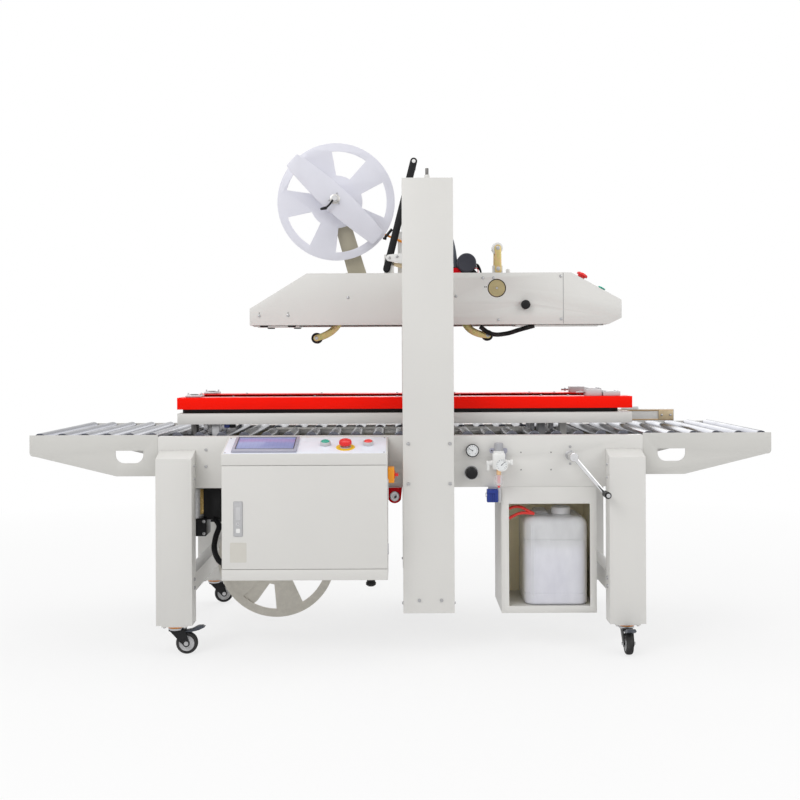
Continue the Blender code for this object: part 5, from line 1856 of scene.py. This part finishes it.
def filter_regulator():
    """The filter with its ribbed cap, clear bowl and bracket, its gauge, and the air's inlet and outlet."""
    x, y = 0.297, -0.338
    body = around("filter_body", (x, y, 0.576), (0.038, 0.036, 0.05), 0.005, 3)
    shoulder = turned(
        "shoulder", (x, y, 0.599), UP, [(0.0165, 0), (0.0165, 0.006), (0.014, 0.0075)], 36, 0.0003
    )
    fit(merged("filter_body", [body, shoulder]), "frame", "white", "filter_regulator")
    stations = [(0.0128, 0), (0.0132, 0.002), (0.0132, 0.0248), (0.0118, 0.0259), (0.004, 0.0259)]
    cap = turned("regulator_cap", (x, y, 0.605), UP, stations, 40)
    rib = around("rib", (x + 0.0132, y, 0.618), (0.001, 0.0016, 0.021), 0.0003)
    ribs = fan(rib, range(0, 360, 20), (0, 0, 1), (x, y, 0))
    fit(merged("regulator_cap", [cap, *ribs]), "frame", "cap_grey")
    for name, finish, top, stations, sides in (
        (
            "filter_bowl", "bowl", 0.534,
            [(0.01, 0), (0.0118, 0.002), (0.0118, 0.026), (0.01, 0.031), (0.005, 0.033)], 40
        ),
        ("bowl_neck", "peach", 0.551, [(0.0068, 0), (0.0068, 0.017), (0.0058, 0.018)], 28)
    ):
        fit(turned(name, (x, y, top), DOWN, stations, sides, 0.0003), "frame", finish)
    drain = turned(
        "drain", (x, y, 0.502), DOWN, [(0.0046, 0), (0.0046, 0.003), (0.003, 0.0036), (0.003, 0.007)], 20
    )
    core = drum("filter_core", (x, y, 0.532), (x, y, 0.508), 0.005)
    fit(merged("filter_core", [drain, core]), "frame", "pale_red")
    ear = cut_plate("ear", "XZ", (-0.331, -0.3288), rounded((0.27, 0.599), (0.324, 0.614), 0.005), (), 0.0005)
    back = around("back", (x + 0.004, -0.3142, 0.5935), (0.04, 0.0076, 0.037), 0.0008)
    web = around("web", (x + 0.004, -0.3215, 0.6065), (0.04, 0.02, 0.0024), 0.0005)
    fit(merged("filter_bracket", [ear, back, web]), "frame", "bezel")
    # a dark disc for the bracket's hole: painted shade
    fit(drum("bracket_hole", (0.2765, -0.3308, 0.607), (0.2765, -0.3314, 0.607), 0.0026), "frame", "mark")
    gauge("regulator_gauge", (0.303, -0.3738, 0.567), 0.0193, 0.018, "white", 45)
    for name, side, z, reach in (("air_outlet", -1, 0.57, 0.014), ("air_inlet", 1, 0.572, 0.02)):
        start = Vector((x + side * 0.0185, y, z))
        stations = [(0.0085, 0), (0.0085, 0.005), (0.0064, 0.006), (0.0064, reach)]
        parts = [turned("elbow", start, (side, 0, 0), stations, 24, 0.0003)]
        if side < 0:
            corner = start + LEFT * 0.013
            parts.append(around("bend", corner, (0.012, 0.013, 0.013), 0.003, 3))
            parts.append(drum("nose", corner, corner + DOWN * 0.022, 0.0056))
        else:
            parts.append(around("cap", start + RIGHT * reach, (0.008, 0.016, 0.016), 0.002, 3))
        fit(merged(name, parts), "frame", "white")


def shut_off_valve():
    """The blue lock-out valve beside the water box, on its light plate."""
    x, z = 0.279, 0.469
    plate = around("valve_plate", (x + 0.022, -0.3105, 0.47), (0.009, 0.02, 0.044), 0.001)
    hanger = around("hanger", (x + 0.008, -0.306, 0.495), (0.04, 0.004, 0.018), 0.0008)
    fit(merged("valve_plate", [plate, hanger]), "frame", "pale_grey")
    body = around("body", (x, -0.318, z), (0.034, 0.022, 0.04), 0.003, 3)
    ribs = [
        around("rib", (x + dx, -0.33, z - 0.004), (0.003, 0.003, 0.024), 0.0008)
        for dx in (-0.004, 0.002, 0.008)
    ]
    hood = around("hood", (x - 0.002, -0.327, z + 0.013), (0.028, 0.012, 0.01), 0.002)
    fit(merged("valve_body", [body, hood, *ribs]), "frame", "blue")
    nut = turned(
        "valve_nut", (x - 0.0165, -0.32, z + 0.002), LEFT, [(0.007, 0), (0.007, 0.004), (0.005, 0.0046)], 20,
        0.0004
    )
    fit(nut, "frame", "chrome")


# Water supply

def water_supply():
    """The open box with beige sheets of painted shade on its inner walls, the jug with its water and cap, and
    the red tubes.
    """
    finish_node("water_box", "frame", "body", details().edge * 1.4)
    low, high = box("water_box")
    floor, thin = 0.1303, 0.0006
    x0, x1, y0, y1, top = low.x + 0.0034, high.x - 0.0034, low.y + 0.006, high.y - 0.0034, high.z - 0.004
    # beige sheets on the box's back and side walls: painted shade of the box's shaded inside
    lining = [
        block("lining", (x0, y1 - thin, floor), (x1, y1, top), 0),
        block("lining", (x0, y0, floor), (x0 + thin, y1, top), 0),
        block("lining", (x1 - thin, y0, floor), (x1, y1, top), 0)
    ]
    fit(merged("box_lining", lining), "frame", "box_inside")
    jug()
    for name, knots in (
        (
            "water_tube_upper",
            ((0.334, 0.4225), (0.35, 0.4275), (0.37, 0.427), (0.392, 0.416), (0.412, 0.406))
        ),
        ("water_tube_lower", ((0.334, 0.392), (0.348, 0.4), (0.368, 0.408), (0.39, 0.4085), (0.412, 0.406)))
    ):
        fit(hose(name, [(x, -0.27, z) for x, z in knots], 0.0045), "frame", "red_tube")


def jug():
    """A blow-moulded jug: round upright corners, a crowned shoulder, pressed ribs, and the water."""
    low, high = Vector((0.38, -0.3, 0.1303)), Vector((0.574, -0.092, 0.398))
    cap_place = Vector((0.499, -0.23, 0.39))
    shell = around("jug_shell", (low + high) / 2, high - low, 0)
    for pick_some, wanted, offset, segments in (
        (pick_edges, lambda place, way: abs(way.z) > 0.9, 0.034, 7),
        (pick_faces, lambda place, way: way.z > 0.9, 0.026, 6),
        (pick_faces, lambda place, way: way.z < -0.9, 0.01, 3)
    ):
        pick_some(shell, wanted)
        bpy.ops.mesh.bevel(offset=offset, segments=segments, affect="EDGES")
        leave()
    lines = (0.166, 0.329)
    for height in lines:
        for shift in (-0.0022, 0.0022):
            edit("FACE", "SELECT")
            bpy.ops.mesh.bisect(plane_co=Vector((0, 0, height + shift)), plane_no=(0, 0, 1))
            leave()
    for height in lines:
        pick_faces(shell, lambda place, way: abs(place.z - height) < 0.002 and abs(way.z) < 0.3)
        bpy.ops.mesh.inset(thickness=0.0008, depth=-0.0012, use_boundary=True)
        leave()
    stations = [(0.034, 0), (0.03, 0.006), (0.0265, 0.008), (0.0255, 0.018)]
    neck = turned("neck", cap_place + UP * 0.006, UP, stations, 44)
    lug = around("lug", (0.442, -0.17, 0.396), (0.042, 0.09, 0.024), 0.008, 4)
    ribs = [
        around("rib", (0.4005 + n * 0.006, -0.2975 - n * 0.0008, 0.265), (0.0022, 0.003, 0.22), 0.0009)
        for n in range(2)
    ]
    fit(merged("jug_body", [shell, neck, lug, *ribs]), "water_jug", "jug", "water_jug")
    water = around("jug_water", (0.477, -0.196, 0.219), (0.188, 0.202, 0.172), 0)
    pick_edges(water, lambda place, way: abs(way.z) > 0.9)
    bpy.ops.mesh.bevel(offset=0.032, segments=6, affect="EDGES")
    leave()
    fit(round_edges(water, 0.0015), "water_jug", "water")
    cap = turned(
        "cap", cap_place + UP * 0.012, UP,
        [(0.0285, 0), (0.0295, 0.001), (0.0295, 0.0185), (0.0265, 0.0215), (0.02, 0.024), (0.0195, 0.0225)],
        56, 0.0003
    )
    rib = around("rib", cap_place + Vector((0.029, 0, 0.0215)), (0.0014, 0.0016, 0.016), 0.0004)
    ribs = fan(rib, range(0, 360, 12), (0, 0, 1), cap_place)
    fit(merged("jug_cap", [cap, *ribs]), "water_jug", "jug_cap")


# Casters

def casters():
    """Four swivel casters, the front ones with brake pedals."""
    for place, side, heading in (
        ("infeed_front", -1, 0), ("infeed_rear", 1, 12), ("outfeed_front", -1, -90), ("outfeed_rear", 1, 160)
    ):
        x = -0.679 if place.startswith("infeed") else 0.679
        caster(place, Vector((x, side * 0.344, 0)), heading)


def caster(place, base, heading):
    """A swivel race, a fork of pressed plates, and a wheel with its hub."""
    fork_body, wheel_body = f"caster_{place}", f"wheel_{place}"
    trail, radius = 0.033, 0.033

    def headed(piece):
        return turn(piece, heading, (0, 0, 1), base)

    def local(x, y, z):
        return base + Vector((x, y, z))

    def plate(name, y0, y1, outline, rounding):
        """A plate cut to an outline given from the caster's middle."""
        outline = [(base.x + u, w) for u, w in outline]
        return cut_plate(name, "XZ", (base.y + y0, base.y + y1), outline, (), rounding)

    stations = [(0.0215, 0), (0.0235, 0.0015), (0.0238, 0.0065), (0.0225, 0.008), (0.0225, 0.0128)]
    race = turned("race", local(0, 0, 0.0725), UP, stations, 40, 0.0003)
    fit(race, fork_body, "screw", f"caster_fork_{place}").name = f"caster_race_{place}"
    band = ring(f"caster_dust_ring_{place}", local(0, 0, 0.0806), UP, 0.0226, 0.0246, 0.003, 44, 0.0006)
    fit(band, fork_body, "orange")
    bridge = around("bridge", local(0.005, 0, 0.0722), (0.05, 0.032, 0.0046), 0.0012)
    outline = [(-0.019, 0.0735), (0.029, 0.0735)] + arc((trail, radius), 0.0105, 30, -150, 14)
    cheeks = [plate("cheek", side * 0.0132, side * 0.0158, outline, 0.0005) for side in (-1, 1)]
    fit(headed(merged(f"caster_fork_{place}_plates", [bridge, *cheeks])), fork_body, "black")
    heads = [(local(trail, side * 0.0158, radius), (0, side, 0)) for side in (-1, 1)]
    fit(headed(set_of(f"caster_axle_bolts_{place}", bolt_master(0.005), heads)), fork_body, "screw")
    half = [(0.0235, 0), (0.0295, 0.001), (0.0322, 0.004), (0.033, 0.008)]
    tyre = turned("tyre", local(trail, 0.011, radius), FRONT, both_ends(half, 0.022), 56, bored=True)
    fit(headed(tyre), wheel_body, "tyre", f"caster_wheel_{place}").name = f"caster_tyre_{place}"
    half = [(0.0045, 0), (0.01, 0), (0.0104, 0.0018), (0.018, 0.0042), (0.0222, 0.003), (0.0234, 0.001)]
    hub = turned("hub", local(trail, 0.0104, radius), FRONT, both_ends(half, 0.0208), 48, bored=True)
    fit(headed(hub), wheel_body, "pale_grey").name = f"caster_hub_{place}"
    if place.endswith("front"):
        outline = [
            (0.026, 0.07), (0.048, 0.0745), (0.066, 0.0838), (0.08, 0.0846), (0.088, 0.081), (0.07, 0.0725),
            (0.048, 0.0672), (0.03, 0.067)
        ]
        pedal = plate("pedal", -0.013, 0.013, outline, 0.001)
        fit(headed(pedal), fork_body, "slate").name = f"caster_brake_{place}"


# Stage

def stage_floor():
    """A wide pale floor that fades into the white beyond it."""
    deselect()
    bpy.ops.mesh.primitive_circle_add(vertices=96, radius=30, fill_type="NGON", location=(0, 0, 0))
    floor = bpy.context.object
    floor.name = "studio_floor"
    settle(floor)
    edit("FACE", "SELECT")
    bpy.ops.mesh.inset(thickness=24)
    leave()
    coat = Coat("studio_floor")
    distance = coat.add("VectorMath", {"operation": "LENGTH"}, {0: coat.place}, output="Value")
    far = coat.span(distance, 1.2, 3.6)
    seen = coat.add("LightPath", output="Is Camera Ray")
    mirrored = coat.add("LightPath", output="Is Glossy Ray")
    through = coat.add("LightPath", output="Is Transmission Ray")
    paint = coat.add("BsdfDiffuse", {}, {"Color": (0.86, 0.86, 0.86)})
    white = coat.add("Emission", {}, {"Color": (1, 1, 1), "Strength": 1.0})
    blend = (seen + mirrored + through) * (0.72 + far * 0.28)
    coat.output(coat.add("MixShader", {}, {0: blend, 1: paint, 2: white}))
    floor.data.materials.append(coat.material)


def studio_world():
    """White where it is seen or mirrored, and an even light on everything else."""
    world = bpy.data.worlds.new("studio")
    bpy.context.scene.world = world
    world.use_nodes = True
    tree = world.node_tree
    tree.nodes.clear()
    path = tree.nodes.new("ShaderNodeLightPath")
    seen = Value(tree, path.outputs["Is Camera Ray"]) + Value(tree, path.outputs["Is Glossy Ray"])
    seen = seen + Value(tree, path.outputs["Is Transmission Ray"])
    level = bpy.context.scene.sealer_stage.world_light
    background = tree.nodes.new("ShaderNodeBackground")
    join(tree, (1.0, 1.0, 1.0), background.inputs["Color"])
    join(tree, level + seen * (1 - level), background.inputs["Strength"])
    output = tree.nodes.new("ShaderNodeOutputWorld")
    tree.links.new(background.outputs[0], output.inputs["Surface"])


def softbox(name, place, size, power):
    """A square lamp that faces the middle of the machine."""
    lamp = bpy.data.lights.new(name, "AREA")
    lamp.shape = "SQUARE"
    lamp.size = size
    lamp.energy = power
    holder = bpy.data.objects.new(name, lamp)
    bpy.context.scene.collection.objects.link(holder)
    holder.location = place
    holder.rotation_mode = "QUATERNION"
    holder.rotation_quaternion = (Vector((0, 0, 0.8)) - Vector(place)).to_track_quat("-Z", "Y")


def studio_camera():
    """The camera in front of the machine, rolled by a quarter of a degree."""
    stage = bpy.context.scene.sealer_stage
    lens = bpy.data.cameras.new("camera")
    lens.lens = stage.lens
    lens.shift_y = -0.054
    lens.clip_end = 100
    camera = bpy.data.objects.new("camera", lens)
    bpy.context.scene.collection.objects.link(camera)
    camera.location = (0, PATH.y - stage.distance, stage.eye)
    camera.rotation_euler = (pi / 2, radians(0.25), 0)
    bpy.context.scene.camera = camera
    bpy.context.scene.view_settings.view_transform = "Standard"


def stage():
    """The floor, the even light, four lamps and the camera."""
    stage_floor()
    studio_world()
    softbox("key_lamp", (-2.2, -3.0, 3.4), 2.4, 62)
    softbox("fill_lamp", (2.8, -2.4, 2.2), 2.2, 26)
    softbox("top_lamp", (0.2, 0.6, 3.9), 2.6, 34)
    softbox("back_lamp", (0.6, 3.2, 2.4), 2.4, 26)
    studio_camera()


# The add-on: an operator for each group of pieces, their panel, and the run that makes them all

class SEALER_OT_finishes(bpy.types.Operator):
    """Mix every paint, plating, plastic and rubber of the machine"""
    bl_idname = "sealer.finishes"
    bl_label = "Finishes"

    def execute(self, context):
        mix_finishes()
        return {"FINISHED"}


class SEALER_OT_bed_frame(bpy.types.Operator):
    """Finish the rails, tables, legs and columns, with their fixings"""
    bl_idname = "sealer.bed_frame"
    bl_label = "Bed frame"

    def execute(self, context):
        bed_frame()
        return {"FINISHED"}


class SEALER_OT_rollers(bpy.types.Operator):
    """Make the roller tubes and the strips that hold their axles"""
    bl_idname = "sealer.rollers"
    bl_label = "Rollers"

    def execute(self, context):
        rollers()
        return {"FINISHED"}


class SEALER_OT_side_drives(bpy.types.Operator):
    """Make both side drives with their belts, covers and motors"""
    bl_idname = "sealer.side_drives"
    bl_label = "Side drives"

    def execute(self, context):
        side_drives()
        return {"FINISHED"}


class SEALER_OT_head(bpy.types.Operator):
    """Finish the sealing head and all that is fixed to it"""
    bl_idname = "sealer.head"
    bl_label = "Sealing head"

    def execute(self, context):
        head()
        return {"FINISHED"}


class SEALER_OT_sealing_arms(bpy.types.Operator):
    """Make the roller arms, the dancer and the measuring arm"""
    bl_idname = "sealer.sealing_arms"
    bl_label = "Swinging arms"

    def execute(self, context):
        sealing_arms()
        return {"FINISHED"}


class SEALER_OT_reels(bpy.types.Operator):
    """Make both tape reels, their arms, the retainer and its lever"""
    bl_idname = "sealer.reels"
    bl_label = "Reels"

    def execute(self, context):
        reels()
        return {"FINISHED"}


class SEALER_OT_cabinet(bpy.types.Operator):
    """Make the electrical cabinet with its door, panel and gear"""
    bl_idname = "sealer.cabinet"
    bl_label = "Cabinet"

    def execute(self, context):
        cabinet()
        return {"FINISHED"}


class SEALER_OT_width_crank(bpy.types.Operator):
    """Make the width screw, its crank and the turning grip"""
    bl_idname = "sealer.width_crank"
    bl_label = "Width crank"

    def execute(self, context):
        width_crank()
        return {"FINISHED"}


class SEALER_OT_air_service(bpy.types.Operator):
    """Make the gauges, the pressure knob, the filter and the valve"""
    bl_idname = "sealer.air_service"
    bl_label = "Compressed air"

    def execute(self, context):
        air_service()
        return {"FINISHED"}


class SEALER_OT_water_supply(bpy.types.Operator):
    """Make the water box, the jug and its tubes"""
    bl_idname = "sealer.water_supply"
    bl_label = "Water supply"

    def execute(self, context):
        water_supply()
        return {"FINISHED"}


class SEALER_OT_casters(bpy.types.Operator):
    """Make the four casters"""
    bl_idname = "sealer.casters"
    bl_label = "Casters"

    def execute(self, context):
        casters()
        return {"FINISHED"}


class SEALER_OT_stage(bpy.types.Operator):
    """Lay the floor, light it and stand the camera"""
    bl_idname = "sealer.stage"
    bl_label = "Stage"

    def execute(self, context):
        stage()
        return {"FINISHED"}


STEPS = (
    SEALER_OT_finishes, SEALER_OT_bed_frame, SEALER_OT_rollers, SEALER_OT_side_drives, SEALER_OT_head,
    SEALER_OT_sealing_arms, SEALER_OT_reels, SEALER_OT_cabinet, SEALER_OT_width_crank, SEALER_OT_air_service,
    SEALER_OT_water_supply, SEALER_OT_casters, SEALER_OT_stage
)


class SEALER_PT_panel(bpy.types.Panel):
    """The machine's settings, and its steps in the order in which they run"""
    bl_idname = "SEALER_PT_panel"
    bl_label = "Carton sealer"
    bl_space_type = "VIEW_3D"
    bl_region_type = "UI"
    bl_category = "Sealer"

    def draw(self, context):
        column = self.layout.column(align=True)
        for group in (
            context.scene.sealer_finishes, context.scene.sealer_details, context.scene.sealer_stage
        ):
            for setting in group.bl_rna.properties:
                if setting.identifier not in ("rna_type", "name"):
                    column.prop(group, setting.identifier)
        for step in STEPS:
            column.operator(step.bl_idname)


CLASSES = (SealerFinishes, SealerDetails, SealerStage, *STEPS, SEALER_PT_panel)


def register():
    for item in CLASSES:
        bpy.utils.register_class(item)
    scene = bpy.types.Scene
    scene.sealer_finishes = bpy.props.PointerProperty(type=SealerFinishes)
    scene.sealer_details = bpy.props.PointerProperty(type=SealerDetails)
    scene.sealer_stage = bpy.props.PointerProperty(type=SealerStage)


def unregister():
    for name in ("sealer_finishes", "sealer_details", "sealer_stage"):
        delattr(bpy.types.Scene, name)
    for item in reversed(CLASSES):
        bpy.utils.unregister_class(item)


def main():
    register()
    for step in STEPS:
        getattr(bpy.ops.sealer, step.bl_idname.split(".")[1])()
    bpy.context.view_layer.update()


if __name__ == "__main__":
    main()
